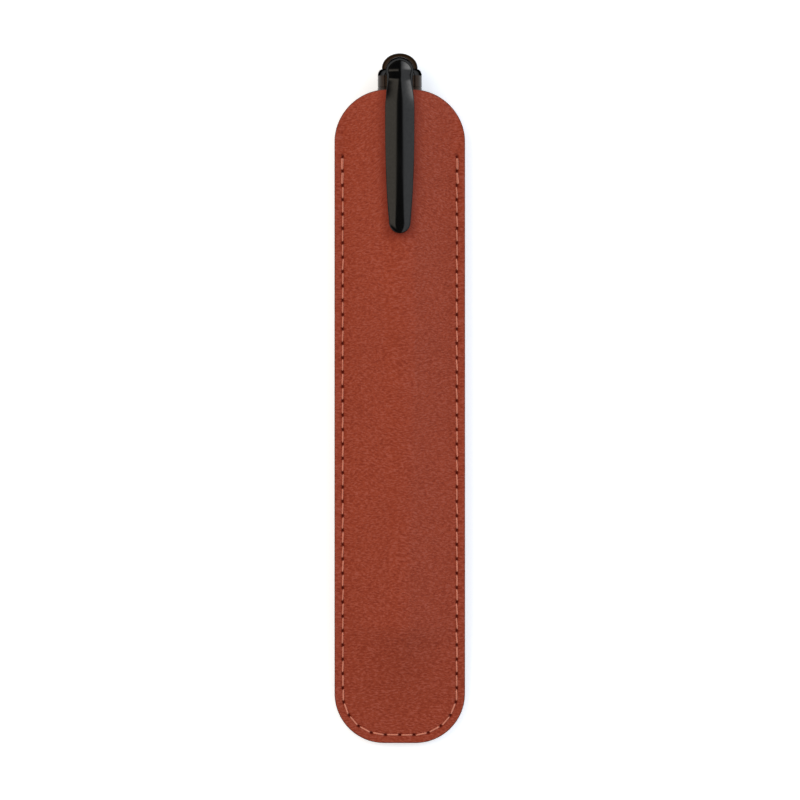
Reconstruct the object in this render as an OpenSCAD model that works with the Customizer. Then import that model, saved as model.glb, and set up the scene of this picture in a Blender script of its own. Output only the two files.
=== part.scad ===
// Single pen sleeve: a slim leather pouch moulded round one capped pen.
// It lies on its back: +X to the right, +Y towards the mouth, +Z up from the desk.
// The origin is the middle of the strip of the back that rests on the desk.

/* [Sleeve] */
// Length from the toe to the mouth
sleeve_len = 150; // [144:1:160]
// Width across the two side edges
sleeve_w = 30; // [29:0.5:34]
// Thickness of the leather
leather_t = 0.9; // [0.7:0.1:1.2]
// Thickness of the lining
lining_t = 0.4; // [0.3:0.1:0.6]
// Radius of the two corners at the mouth
mouth_corner_r = 11.8; // [8:0.2:13]
// Radius of the two corners at the toe
toe_corner_r = 11.4; // [8:0.2:13]

/* [Moulding] */
// Height of the parting between front and back, beside the pen
parting_h = 4.2; // [3.4:0.1:5.4]
// Height of the same parting at the toe
toe_parting_h = 1.9; // [1.8:0.1:3]
// Width of the flat strip that the sleeve rests on
rest_strip_w = 10; // [8:0.5:12]
// Width of the bend where the front rises from the seam
bend_w = 2; // [1:0.1:2.4]
// Play between the pen and the lining
pocket_play = 0.3; // [0.3:0.05:0.6]

/* [Seam] */
// Distance of the seam from the edge
seam_inset = 1.9; // [1.6:0.1:2.6]
// Stitch length, from hole to hole
stitch_pitch = 3.3; // [2.6:0.1:4.4]
// Distance from the mouth down to the first hole
seam_start = 15.2; // [13:0.2:24]
// Thickness of the sewing thread
thread_d = 0.36; // [0.3:0.02:0.6]

/* [Pen] */
// Length of the capped pen
pen_len = 131.3; // [124:0.5:134]
// Length of pen that stands out of the mouth
pen_proud = 8.5; // [7.5:0.1:10]
// Diameter of the barrel beside the cap
barrel_d = 10.2; // [9.8:0.1:10.4]
// Diameter of the barrel at its tail
tail_d = 7.6; // [6:0.1:9]
// Height of the domed tail
tail_dome_h = 3.8; // [2:0.1:5]
// Width of the metal ring at the end of the barrel
ring_w = 1.2; // [0.8:0.1:2]
// Diameter of the grip where it meets the ring
grip_d = 8.4; // [7.8:0.1:8.6]
// Diameter of the grip at its waist
grip_waist_d = 7.6; // [7.2:0.1:7.8]
// Length of the grip
grip_len = 20; // [16:0.5:22]
// Diameter of the tenon that holds the grip in the barrel
tenon_d = 6.4; // [5.6:0.1:7]
// Length of that tenon
tenon_len = 8; // [5:0.5:12]

/* [Nib] */
// Length of the nib beyond the grip
nib_len = 20; // [16:0.5:22]
// Diameter of the nib where it leaves the grip
nib_d = 6; // [5.4:0.1:6.4]
// Thickness of the nib's metal
nib_t = 0.3; // [0.25:0.05:0.4]
// Length of nib and feed held inside the grip
nib_root = 6; // [4:0.5:9]
// Number of fins under the feed
fin_count = 7; // [4:1:9]

/* [Cap] */
// Length of the cap with its finial
cap_len = 60; // [56:0.5:64]
// Diameter of the cap at its lip
cap_lip_d = 10.6; // [10.4:0.1:11]
// Diameter of the cap at its top
cap_top_d = 10.1; // [9.6:0.1:10.3]
// Diameter of the bore that goes over the grip
cap_bore_d = 8.9; // [8.9:0.05:9.1]
// Width of the metal band at the lip
band_w = 3; // [2:0.1:5]
// Thickness of that band
band_t = 0.35; // [0.25:0.05:0.4]
// Diameter of the domed finial on top
finial_d = 8.2; // [7.6:0.1:8.6]
// Height of the finial's dome
finial_dome_h = 3.4; // [2.8:0.1:4]
// Diameter of the post under the finial
post_d = 3; // [2.4:0.1:3.6]
// Length of the post below the clip's collar
post_len = 2.6; // [2:0.1:3.2]

/* [Clip] */
// Length from the top of the knob to the tip
clip_len = 40.5; // [36:0.5:44]
// Distance of the knob below the top of the finial
clip_drop = 1; // [0.6:0.1:1.4]
// Diameter of the knob
knob_d = 6.4; // [5.8:0.1:6.8]
// Width of the neck below the knob
neck_w = 5.9; // [5.2:0.1:6.2]
// Greatest width of the arm
arm_w = 6.7; // [6:0.1:7]
// Width of the arm beside its round tip
tip_w = 4.9; // [4.4:0.1:5.4]
// Thickness of the arm
arm_t = 1.8; // [1.4:0.1:2.2]
// Height of the collar that the clip grows from
collar_h = 1.5; // [1.2:0.1:2.2]
// Play between the clip and the leather
clip_play = 0.3; // [0.3:0.05:0.6]

/* [Hidden] */
$fn = 64;

// Play between two pieces of the pen that are fixed to each other
fixed_play = 0.02;
// Play between the cap's lip and the ring it closes on
lip_play = 0.2;
// Share of the thread's thickness that is pulled into the leather
thread_sink = 0.3;
// Wall of the cap between its bore and the clip's collar
cap_end_t = 3.2;
// Height of the straight rim under the finial's dome
finial_rim_h = 0.3;
// Gap at the blind end of a socket
socket_gap = 0.4;
// Overshoot of a cut past the face that it opens
eps = 0.05;

half_len = sleeve_len / 2;
half_w = sleeve_w / 2;
wall = leather_t + lining_t;
toe_centre = -half_len + toe_corner_r;
mouth_centre = half_len - mouth_corner_r;

pen_top = half_len + pen_proud;
pen_tail = pen_top - pen_len;
tail_start = pen_tail + tail_dome_h;
cap_lip = pen_top - cap_len;
axis_h = wall + pocket_play + cap_lip_d / 2;

// The clip's collar takes the top of the cap, and the finial sits on it.
collar_top = pen_top - finial_dome_h - finial_rim_h;
collar_base = collar_top - collar_h;
ring_end = cap_lip - lip_play;
grip_end = ring_end + grip_len;

// Eased step from 0 to 1 while t goes from 0 to 1.
function ease(t) = let (u = min(1, max(0, t))) u * u * (3 - 2 * u);
function mix(a, b, t) = a + (b - a) * t;
function clamped(t) = min(1, max(0, t));
// Values from a to b in n steps, without a itself.
function steps(a, b, n) = [for (k = [1:n]) mix(a, b, k / n)];

// Half the width of an outline that lies inset from the sleeve's edge, at the place y.
function inset_half(y, inset) =
    y < toe_centre
    ? half_w - toe_corner_r + sqrt(max(0, (toe_corner_r - inset) ^ 2 - (toe_centre - y) ^ 2))
    : half_w - inset;
function edge_half(y) =
    y > mouth_centre
    ? half_w - mouth_corner_r + sqrt(max(0, mouth_corner_r ^ 2 - (y - mouth_centre) ^ 2))
    : inset_half(y, 0);

// The parting runs level beside the pen and sinks towards the toe, from a little before the
// pen's tail to a little before the edge.
sink_margin = 3;
sink_start = pen_tail + 2 * tail_dome_h;
sink_end = -half_len + seam_inset + sink_margin;
function parting(y) = mix(toe_parting_h, parting_h, ease((y - sink_end) / (sink_start - sink_end)));

// The back lies flat under the pen and curls up at the toe, up to the parting there.
toe_curl = toe_parting_h - wall;
curl_len = 12;
curl_done = 0.8;
function back_floor(y) = wall + toe_curl * ease((sink_end - y) / curl_len + curl_done);
function back_inner(x, y) =
    let (foot = inset_half(y, seam_inset + bend_w / 2), strip = rest_strip_w / 2)
    mix(back_floor(y), parting(y), foot > strip ? ease((abs(x) - strip) / (foot - strip)) : 1);

// Radius of the hump that the pen presses into the front: a straight ridge from tail to lip,
// with a soft knee at the lip, so that the cap can always slide out.
knee = 5;
hump_tail_r = tail_d / 2 + pocket_play;
hump_lip_r = cap_lip_d / 2 + pocket_play;
hump_rise = (hump_lip_r - hump_tail_r) / (cap_lip - tail_start);
function hump_r(y) =
    let (d = cap_lip - y)
    hump_lip_r - hump_rise * (d > knee ? min(d, cap_lip - tail_start) - knee / 2
                                       : max(0, d) ^ 2 / (2 * knee));
// Past the tail the ridge falls away to the seam across the toe.
fall_end = -half_len + seam_inset + bend_w / 2;
fall_power = 2.2;
fall_knee = 0.12;
function fall(y) =
    let (t = clamped((pen_tail - y) / (pen_tail - fall_end)))
    (1 - t * t * (1 + fall_knee) / (t + fall_knee)) ^ fall_power;
function ridge(y) =
    y > pen_tail ? axis_h + hump_r(y) - parting(y)
                 : (axis_h + hump_r(pen_tail) - parting(pen_tail)) * max(0, fall(y));

// Height of the front's tent over the parting: a rounded ridge with straight sides that bend
// into the seam.
function tent(a, y) =
    let (foot = inset_half(y, seam_inset + bend_w / 2), half_bend = bend_w / 2,
         r = hump_r(max(y, pen_tail)), h = ridge(y), drop = h - r,
         slope = atan2(drop, foot) + asin(min(1, r / sqrt(foot ^ 2 + drop ^ 2))),
         a0 = r * sin(slope))
    h < eps / 10 ? 0
    : a < a0 ? drop + sqrt(r * r - a * a)
    : a < foot - half_bend ? (foot - a) * tan(slope)
    : a < foot + half_bend ? tan(slope) * (foot + half_bend - a) ^ 2 / (2 * bend_w)
    : 0;
function front_inner(x, y) = parting(y) + tent(abs(x), y);

// How much taller than it is thick a sheet stands on its slope.
probe = 0.02;
function stretch(shape, x, y) =
    let (dx = (shape(x + probe, y) - shape(x - probe, y)) / (2 * probe),
         dy = (shape(x, y + probe) - shape(x, y - probe)) / (2 * probe))
    sqrt(1 + dx * dx + dy * dy);
front_shape = function (x, y) front_inner(x, y);
back_shape = function (x, y) back_inner(x, y);
function front_at(t) = function (x, y) front_inner(x, y) + t * stretch(front_shape, x, y);
function back_at(t) = function (x, y) back_inner(x, y) - t * stretch(back_shape, x, y);

// Rows of the sheets, from the toe to the mouth.
corner_steps = 8;
rows = concat(
    [for (k = [0:corner_steps]) toe_centre - toe_corner_r * cos(90 * k / corner_steps)],
    steps(toe_centre, tail_start, 8),
    steps(tail_start, cap_lip - knee, 7),
    steps(cap_lip - knee, cap_lip, 2),
    steps(cap_lip, mouth_centre, 4),
    [for (k = [1:corner_steps]) mouth_centre + mouth_corner_r * sin(90 * k / corner_steps)]);

// Columns of one half of a sheet, in millimetres where the sleeve is at its full width.
bend_inner = half_w - seam_inset - bend_w;
bend_outer = half_w - seam_inset;
ridge_w = 4;
front_half = concat([0], steps(0, ridge_w, 3), steps(ridge_w, bend_inner, 2),
                    steps(bend_inner, bend_outer, 3), [half_w]);
back_half = concat([0, rest_strip_w / 2], steps(rest_strip_w / 2, bend_outer, 5), [half_w]);
function both_sides(half) = concat([for (k = [len(half) - 1:-1:1]) -half[k]], half);

// The columns keep to the seam round the toe and close in evenly at the mouth.
function across(c, y) =
    let (a = abs(c), e = edge_half(y), share = bend_outer / half_w,
         s = min(inset_half(y, seam_inset), share * e))
    sign(c) * (a <= bend_outer ? a / bend_outer * s : mix(s, e, (a - bend_outer) / seam_inset));

// A sheet between two heights, inside the sleeve's outline. Both of its faces are cut on the
// same diagonals, mirrored left and right, so that sheets lie on each other without a gap.
module sheet(low, high, half) {
    cols = both_sides(half);
    n = len(cols);
    m = len(rows);
    flat = [for (y = rows) for (c = cols) [across(c, y), y]];
    points = concat([for (p = flat) [p.x, p.y, low(p.x, p.y)]],
                    [for (p = flat) [p.x, p.y, high(p.x, p.y)]]);
    top = n * m;
    quads = concat(
        [for (j = [0:m - 2]) for (i = [0:n - 2]) let (a = top + j * n + i)
            [a, a + n, a + n + 1, a + 1, i < (n - 1) / 2]],
        [for (j = [0:m - 2]) for (i = [0:n - 2]) let (a = j * n + i)
            [a + 1, a + n + 1, a + n, a, i >= (n - 1) / 2]],
        [for (j = [0:m - 2]) let (a = j * n) [a, a + n, a + n + top, a + top, true]],
        [for (j = [0:m - 2]) let (a = j * n + n - 1) [a + n, a, a + top, a + n + top, true]],
        [for (i = [0:n - 2]) [i + 1, i, i + top, i + 1 + top, true]],
        [for (i = [0:n - 2]) let (a = (m - 1) * n + i) [a, a + 1, a + 1 + top, a + top, true]]);
    polyhedron(points, [for (q = quads) each split(q)], convexity = 6);
}
// Two triangles of a four-sided face, cut on the diagonal that its last value picks.
function split(q) = q[4] ? [[q[0], q[1], q[2]], [q[0], q[2], q[3]]]
                         : [[q[0], q[1], q[3]], [q[1], q[2], q[3]]];

module front_lining() {
    color([0.36, 0.20, 0.15])
        sheet(front_at(0), front_at(lining_t), front_half);
}

module front_panel() {
    color([0.58, 0.26, 0.18])
        sheet(front_at(lining_t), front_at(wall), front_half);
}

module back_lining() {
    color([0.36, 0.20, 0.15])
        sheet(back_at(lining_t), back_at(0), back_half);
}

module back_panel() {
    color([0.58, 0.26, 0.18])
        sheet(back_at(wall), back_at(lining_t), back_half);
}

// The seam runs down one side, round the toe and up the other side. It is walked from the
// middle of the toe, where its distance is 0.
seam_r = toe_corner_r - seam_inset;
seam_flat = half_w - toe_corner_r;
seam_bend = seam_r * PI / 2;
seam_half = seam_flat + seam_bend + half_len - seam_start - toe_centre;
stitch_count = 2 * round(seam_half / stitch_pitch);
stitch_step = 2 * seam_half / stitch_count;
function seam_place(s) =
    let (d = abs(s), turn = (d - seam_flat) / seam_r * 180 / PI)
    d < seam_flat ? [s, -half_len + seam_inset]
    : d < seam_flat + seam_bend
      ? [sign(s) * (seam_flat + seam_r * sin(turn)), toe_centre - seam_r * cos(turn)]
      : [sign(s) * (half_w - seam_inset), toe_centre + d - seam_flat - seam_bend];

// One stitch from point a to point b: a plump bar of thread with drawn-in ends.
stitch_gap = 0.2;
stitch_taper = 0.35;
module stitch(a, b) {
    run = b - a;
    len_ab = norm(run);
    r = thread_d / 2;
    translate(a)
        rotate([0, acos(run.z / len_ab), atan2(run.y, run.x)])
            rotate_extrude($fn = 24)
                polygon([
                    [0, stitch_gap], [r / 2, stitch_gap], [r, stitch_gap + stitch_taper],
                    [r, len_ab - stitch_gap - stitch_taper], [r / 2, len_ab - stitch_gap],
                    [0, len_ab - stitch_gap]
                ]);
}

// All the stitches on one side of the sleeve; lift is the height over the parting.
module stitch_row(lift) {
    for (k = [0:stitch_count - 1]) {
        p = seam_place(-seam_half + k * stitch_step);
        q = seam_place(-seam_half + (k + 1) * stitch_step);
        stitch([p.x, p.y, parting(p.y) + lift], [q.x, q.y, parting(q.y) + lift]);
    }
}
stitch_lift = wall + thread_d * (0.5 - thread_sink);

module needle_thread() {
    color([0.86, 0.47, 0.37])
        stitch_row(stitch_lift);
}

module bobbin_thread() {
    color([0.86, 0.47, 0.37])
        stitch_row(-stitch_lift);
}

// Puts what is drawn along +Z onto the pen's axis, along +Y.
module on_axis(y = 0) {
    translate([0, y, axis_h])
        rotate([-90, 0, 0])
            children();
}

// A turned solid from a list of [distance along the pen, radius].
module turned(profile) {
    on_axis()
        rotate_extrude()
            polygon(concat([[0, profile[0][0]]], [for (p = profile) [p[1], p[0]]],
                           [[0, profile[len(profile) - 1][0]]]));
}

// Diameter of a taper between two ends that swells a little halfway.
taper_crown = 0.08;
function swell(a, b, t) = mix(a, b, t) + taper_crown * 4 * t * (1 - t);

socket_len = tenon_len + socket_gap;
barrel_end = ring_end - ring_w;
module barrel() {
    dome_steps = 6;
    taper_steps = 8;
    color([0.07, 0.06, 0.06])
        difference() {
            turned(concat(
                [for (k = [1:dome_steps]) let (u = 90 * k / dome_steps)
                    [tail_start - tail_dome_h * cos(u), tail_d / 2 * sin(u)]],
                [for (k = [1:taper_steps]) let (t = k / taper_steps)
                    [mix(tail_start, barrel_end, t), swell(tail_d, barrel_d, t) / 2]]));
            on_axis(barrel_end - socket_len)
                cylinder(h = socket_len + eps, d = tenon_d + 2 * fixed_play);
        }
}

module barrel_ring() {
    color([0.75, 0.76, 0.78])
        difference() {
            on_axis(barrel_end)
                cylinder(h = ring_w, d = barrel_d);
            on_axis(barrel_end - eps)
                cylinder(h = ring_w + 2 * eps, d = tenon_d + 2 * fixed_play);
        }
}

// The grip draws in to a waist and flares again at the nib: the share of its full thickness
// over the waist, from the ring, where t is 0, to the nib, where it is 1.
waist_at = 0.75;
nib_flare = 0.6;
function grip_flare(t) =
    t < waist_at ? 1 - ease(t / waist_at) : nib_flare * ease((t - waist_at) / (1 - waist_at));
module grip_section() {
    waist_steps = 12;
    color([0.09, 0.08, 0.08])
        difference() {
            turned(concat(
                [[barrel_end - tenon_len, tenon_d / 2], [ring_end, tenon_d / 2]],
                [for (k = [0:waist_steps]) let (t = k / waist_steps)
                    [ring_end + t * grip_len, mix(grip_waist_d, grip_d, grip_flare(t)) / 2]]));
            on_axis(grip_end - nib_root)
                cylinder(h = nib_root + eps, d = nib_d + 2 * fixed_play);
        }
}

// The nib and the feed share one cone, which the nib wraps from above.
nib_tip_d = 1.6;
nib_back = grip_end - nib_root;
module nib_cone(inset) {
    on_axis(nib_back)
        cylinder(h = nib_root, d = nib_d - 2 * inset);
    on_axis(grip_end)
        cylinder(h = nib_len, d1 = nib_d - 2 * inset, d2 = nib_tip_d - 2 * inset);
}

// Plan of the nib: straight root, shoulders, then a taper to the point. It reaches down the
// feed's sides to a little above the axis.
nib_shoulder = 0.3;
nib_point_w = 0.5;
nib_foot = 0.4;
module nib_plan() {
    w = nib_d / 2 + eps;
    shoulder = grip_end + nib_len * nib_shoulder;
    translate([0, 0, axis_h + nib_foot])
        linear_extrude(height = nib_d)
            polygon([
                [-w, nib_back], [w, nib_back], [w, shoulder],
                [nib_point_w / 2, grip_end + nib_len], [-nib_point_w / 2, grip_end + nib_len],
                [-w, shoulder]
            ]);
}

module nib() {
    slit_w = 0.15;
    breather_d = 1.2;
    breather_at = 0.4;
    breather = grip_end + nib_len * breather_at;
    color([0.78, 0.79, 0.80])
        difference() {
            intersection() {
                difference() {
                    nib_cone(0);
                    nib_cone(nib_t);
                }
                nib_plan();
            }
            translate([-slit_w / 2, breather, axis_h])
                cube([slit_w, nib_len, nib_d]);
            translate([0, breather, axis_h])
                cylinder(h = nib_d, d = breather_d);
        }
}

// The feed stops short of the nib's tip. Slots from below part its fins.
module feed() {
    feed_share = 0.85;
    fin_share = 0.55;
    slot_share = 0.4;
    slot_roof = 0.3;
    fin_step = nib_len * fin_share / fin_count;
    color([0.10, 0.10, 0.10])
        difference() {
            nib_cone(nib_t + fixed_play);
            translate([-nib_d, grip_end + nib_len * feed_share, axis_h - nib_d])
                cube([2 * nib_d, nib_len, 2 * nib_d]);
            for (k = [1:fin_count])
                translate([-nib_d, grip_end + k * fin_step, axis_h - nib_d])
                    cube([2 * nib_d, fin_step * slot_share, nib_d * (1 - slot_roof)]);
        }
}

// The cap: a tapered tube with a closed top, a rebate for the band and a hole for the post.
cap_bore_len = collar_base - cap_end_t - cap_lip;
module cap_tube() {
    taper_steps = 8;
    band_end = cap_lip + band_w;
    rebate_r = cap_lip_d / 2 - band_t;
    color([0.07, 0.06, 0.06])
        difference() {
            turned(concat(
                [[cap_lip, rebate_r], [band_end, rebate_r]],
                [for (k = [0:taper_steps]) let (t = k / taper_steps)
                    [mix(band_end, collar_base, t), swell(cap_lip_d, cap_top_d, t) / 2]]));
            on_axis(cap_lip - eps)
                cylinder(h = cap_bore_len + eps, d = cap_bore_d);
            on_axis(collar_base - cap_end_t - eps)
                cylinder(h = cap_end_t + 2 * eps, d = post_d + 2 * fixed_play);
        }
}

module cap_band() {
    color([0.75, 0.76, 0.78])
        difference() {
            on_axis(cap_lip)
                cylinder(h = band_w - fixed_play, d = cap_lip_d);
            on_axis(cap_lip - eps)
                cylinder(h = band_w + 2 * eps, d = cap_lip_d - 2 * band_t + 2 * fixed_play);
        }
}

// The finial: a dome with a short straight rim, on a post that goes down into the cap.
module cap_finial() {
    dome_steps = 10;
    rim = collar_top + finial_rim_h;
    seat = collar_top + fixed_play;
    color([0.08, 0.07, 0.07])
        turned(concat(
            [[collar_base - post_len, post_d / 2], [seat, post_d / 2], [seat, finial_d / 2]],
            [for (k = [0:dome_steps]) let (u = 90 * k / dome_steps)
                [rim + finial_dome_h * sin(u), finial_d / 2 * cos(u)]]));
}

// The clip is measured down from the top of its knob.
knob_top = pen_top - clip_drop;
knob_r = knob_d / 2;
knob_mid = knob_r;
neck_at = 5.2;
shoulder_at = 12;
tip_r = tip_w / 2;
tip_at = clip_len - tip_r;
leather_top = axis_h + hump_lip_r + wall;
arm_floor = leather_top + clip_play;
arm_top = arm_floor + arm_t;
knob_floor = axis_h + finial_d / 2 + clip_play;
// The clip's underside rises from the collar to clear the mouth's edge.
mouth_margin = 1;
throat_start = knob_top - collar_top + clip_play;
throat_end = knob_top - half_len - mouth_margin;

// Roundness of an end: 0 at its tip, 1 at a distance r from it.
function round_end(d, r) = sqrt(max(0, 1 - clamped(1 - d / r) ^ 2));
arm_bow = 2.8;
function clip_half(t) =
    t < knob_mid ? knob_r * round_end(t, knob_r)
    : t < neck_at ? mix(knob_r, neck_w / 2, ease((t - knob_mid) / (neck_at - knob_mid)))
    : t < shoulder_at ? mix(neck_w, arm_w, ease((t - neck_at) / (shoulder_at - neck_at))) / 2
    : t < tip_at ? mix(arm_w, tip_w, ((t - shoulder_at) / (tip_at - shoulder_at)) ^ arm_bow) / 2
    : tip_r * round_end(clip_len - t, tip_r);
function clip_floor(t) =
    mix(knob_floor, arm_floor, ease((t - throat_start) / (throat_end - throat_start)));
tip_share = 0.4;
function clip_top(t) =
    let (knob_rise = 0.5, neck_dip = 0.3, knob_h = arm_top + knob_rise)
    t < knob_mid ? mix((knob_floor + knob_h) / 2, knob_h, round_end(t, knob_r))
    : t < neck_at ? mix(knob_h, arm_top - neck_dip, ease((t - knob_mid) / (neck_at - knob_mid)))
    : t < shoulder_at ? arm_top - neck_dip * (1 - ease((t - neck_at) / (shoulder_at - neck_at)))
    : t < tip_at ? arm_top
    : mix(arm_floor + arm_t * tip_share, arm_top, round_end(clip_len - t, tip_r));
// Height of the widest line of the section: halfway up the knob, low on the arm.
waist_share = 0.3;
waist_run = 3;
function clip_waist(t) =
    mix((knob_floor + clip_top(t)) / 2, clip_floor(t) + arm_t * waist_share,
        ease((t - knob_mid) / waist_run));

// One ring of the clip's skin: a crowned top over a flattened underside. The crown is round at
// the neck and gets squarer down the arm.
clip_sides = 20;
under_flat = 1.3;
function crown(t) = mix(1, 0.84, clamped((t - neck_at) / (tip_at - neck_at) * 2));
function clip_ring(t) =
    let (w = clip_half(t), top = clip_top(t), mid = clip_waist(t), low = clip_floor(t))
    [for (k = [0:clip_sides - 1])
        let (u = 360 * k / clip_sides, s = sin(u), c = cos(u))
        [w * sign(c) * abs(c) ^ crown(t), knob_top - t,
         s >= 0 ? mid + (top - mid) * s : mid + (mid - low) * max(-1, under_flat * s)]];

knob_steps = 6;
clip_places = concat(
    [for (k = [1:knob_steps]) knob_r * (1 - cos(90 * k / knob_steps))],
    steps(knob_mid, neck_at, 4), steps(neck_at, shoulder_at, 4), steps(shoulder_at, tip_at, 6),
    [for (k = [1:5]) tip_at + tip_r * sin(90 * k / 5.5)]);

// A skin through rings of equally many points, closed by flat ends.
module loft(rings) {
    n = len(rings[0]);
    m = len(rings);
    points = [for (r = rings) each r];
    walls = [for (j = [0:m - 2]) for (i = [0:n - 1])
        let (a = j * n + i, b = j * n + (i + 1) % n) each split([b, a, a + n, b + n, true])];
    polyhedron(points, concat([[for (i = [0:n - 1]) i]], walls,
                              [[for (i = [n - 1:-1:0]) (m - 1) * n + i]]), convexity = 4);
}

module clip() {
    color([0.06, 0.06, 0.06]) {
        loft([for (t = clip_places) clip_ring(t)]);
        clip_collar();
    }
}

// The collar rounds over from the cap's top to the finial.
module clip_collar() {
    round_steps = 5;
    difference() {
        turned([for (k = [0:round_steps]) let (u = 90 * k / round_steps)
            [collar_base + collar_h * sin(u),
             finial_d / 2 + (cap_top_d - finial_d) / 2 * cos(u)]]);
        on_axis(collar_base - eps)
            cylinder(h = collar_h + 2 * eps, d = post_d + 2 * fixed_play);
    }
}

front_panel();
front_lining();
back_lining();
back_panel();
needle_thread();
bobbin_thread();
barrel();
barrel_ring();
grip_section();
feed();
nib();
cap_tube();
cap_band();
clip();
cap_finial();
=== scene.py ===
"""Single pen sleeve: moulded leather with a stitched seam, and the lacquered pen that it holds."""

import math
from types import SimpleNamespace

import bmesh
import bpy
import numpy as np
from bpy.props import FloatProperty, FloatVectorProperty, IntProperty, PointerProperty
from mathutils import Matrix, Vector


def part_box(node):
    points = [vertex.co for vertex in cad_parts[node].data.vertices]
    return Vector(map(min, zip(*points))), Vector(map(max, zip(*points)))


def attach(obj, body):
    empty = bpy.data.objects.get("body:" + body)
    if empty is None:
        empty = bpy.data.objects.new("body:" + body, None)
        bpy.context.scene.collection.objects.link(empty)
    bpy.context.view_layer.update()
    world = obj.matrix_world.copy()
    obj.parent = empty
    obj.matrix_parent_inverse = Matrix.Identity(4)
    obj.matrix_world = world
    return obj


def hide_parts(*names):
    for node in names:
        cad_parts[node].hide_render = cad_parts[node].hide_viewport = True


bl_info = {
    "name": "Single Pen Sleeve",
    "version": (1, 0, 0),
    "blender": (4, 5, 0),
    "location": "3D View > Sidebar > Pen Sleeve",
    "description": "Makes a moulded leather pen sleeve, its stitching and its pen, piece by piece",
    "category": "Object",
}

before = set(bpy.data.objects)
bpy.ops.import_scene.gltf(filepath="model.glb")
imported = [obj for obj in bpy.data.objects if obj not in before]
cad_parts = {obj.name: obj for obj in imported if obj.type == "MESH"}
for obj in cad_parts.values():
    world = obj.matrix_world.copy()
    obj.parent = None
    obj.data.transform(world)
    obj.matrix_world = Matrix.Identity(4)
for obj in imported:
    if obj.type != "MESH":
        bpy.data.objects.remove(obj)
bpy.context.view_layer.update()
MM = 0.001
# How bright the lacquer's rim is on the pen's tubes and on the finial's dome
TUBE_RIM = 0.95
FINIAL_RIM = 0.4


def length(name, about, default, low, high):
    """A length property with its limits, in metres."""
    return FloatProperty(name=name, description=about, default=default, min=low, max=high,
                         precision=5, unit="LENGTH")


def colour(name, about, default):
    return FloatVectorProperty(name=name, description=about, default=default, min=0, max=1,
                               subtype="COLOR")


class SleeveSizes(bpy.types.PropertyGroup):
    """Sizes of the leather pouch."""

    mouth_corner_r: length("Mouth Corner", "Radius of the two corners at the mouth",
                           0.0118, 0.008, 0.013)
    toe_corner_r: length("Toe Corner", "Radius of the two corners at the toe",
                         0.0114, 0.008, 0.013)
    leather_t: length("Leather", "Thickness of the leather", 0.0009, 0.0007, 0.0012)
    lining_t: length("Lining", "Thickness of the suede lining", 0.0004, 0.0003, 0.0006)
    parting_h: length("Parting", "Height of the parting between front and back, beside the pen",
                      0.0042, 0.0034, 0.0054)
    toe_parting_h: length("Toe Parting", "Height of the same parting at the toe",
                          0.0019, 0.0018, 0.003)
    rest_strip_w: length("Resting Strip", "Width of the flat strip that the sleeve rests on",
                         0.010, 0.008, 0.012)
    bend_w: length("Bend", "Width of the bend where the front rises from the seam",
                   0.002, 0.001, 0.0024)
    pocket_play: length("Pocket Play", "Play between the pen and the lining",
                        0.0003, 0.0003, 0.0006)
    edge_round: length("Edge Round", "Radius of the burnished edge of the leather",
                       0.00028, 0.0001, 0.0004)


class SeamSizes(bpy.types.PropertyGroup):
    """Sizes of the seam and its thread."""

    inset: length("Inset", "Distance of the seam from the edge", 0.0019, 0.0016, 0.0026)
    start: length("Start", "Distance from the mouth down to the first hole", 0.0152, 0.013, 0.024)
    pitch: length("Stitch Length", "Distance from hole to hole", 0.0033, 0.0026, 0.0044)
    thread_d: length("Thread", "Thickness of the sewing thread", 0.00036, 0.0003, 0.0006)
    hole_len: length("Hole Length", "Length of a needle hole along the seam",
                     0.00095, 0.0004, 0.0012)
    hole_w: length("Hole Width", "Width of a needle hole across the seam", 0.0006, 0.0003, 0.0008)
    hole_depth: length("Hole Depth", "Depth to which a hole is open", 0.00055, 0.0002, 0.0008)
    groove_depth: length("Groove", "How far the thread has pulled the leather in",
                         0.0001, 0.0, 0.0003)
    wander: length("Wander", "How far a stitch may lie beside the seam's line",
                   0.00005, 0.0, 0.0002)
    seed: IntProperty(
        name="Seed", description="Picks how each stitch lies", default=7, min=0)


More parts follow.
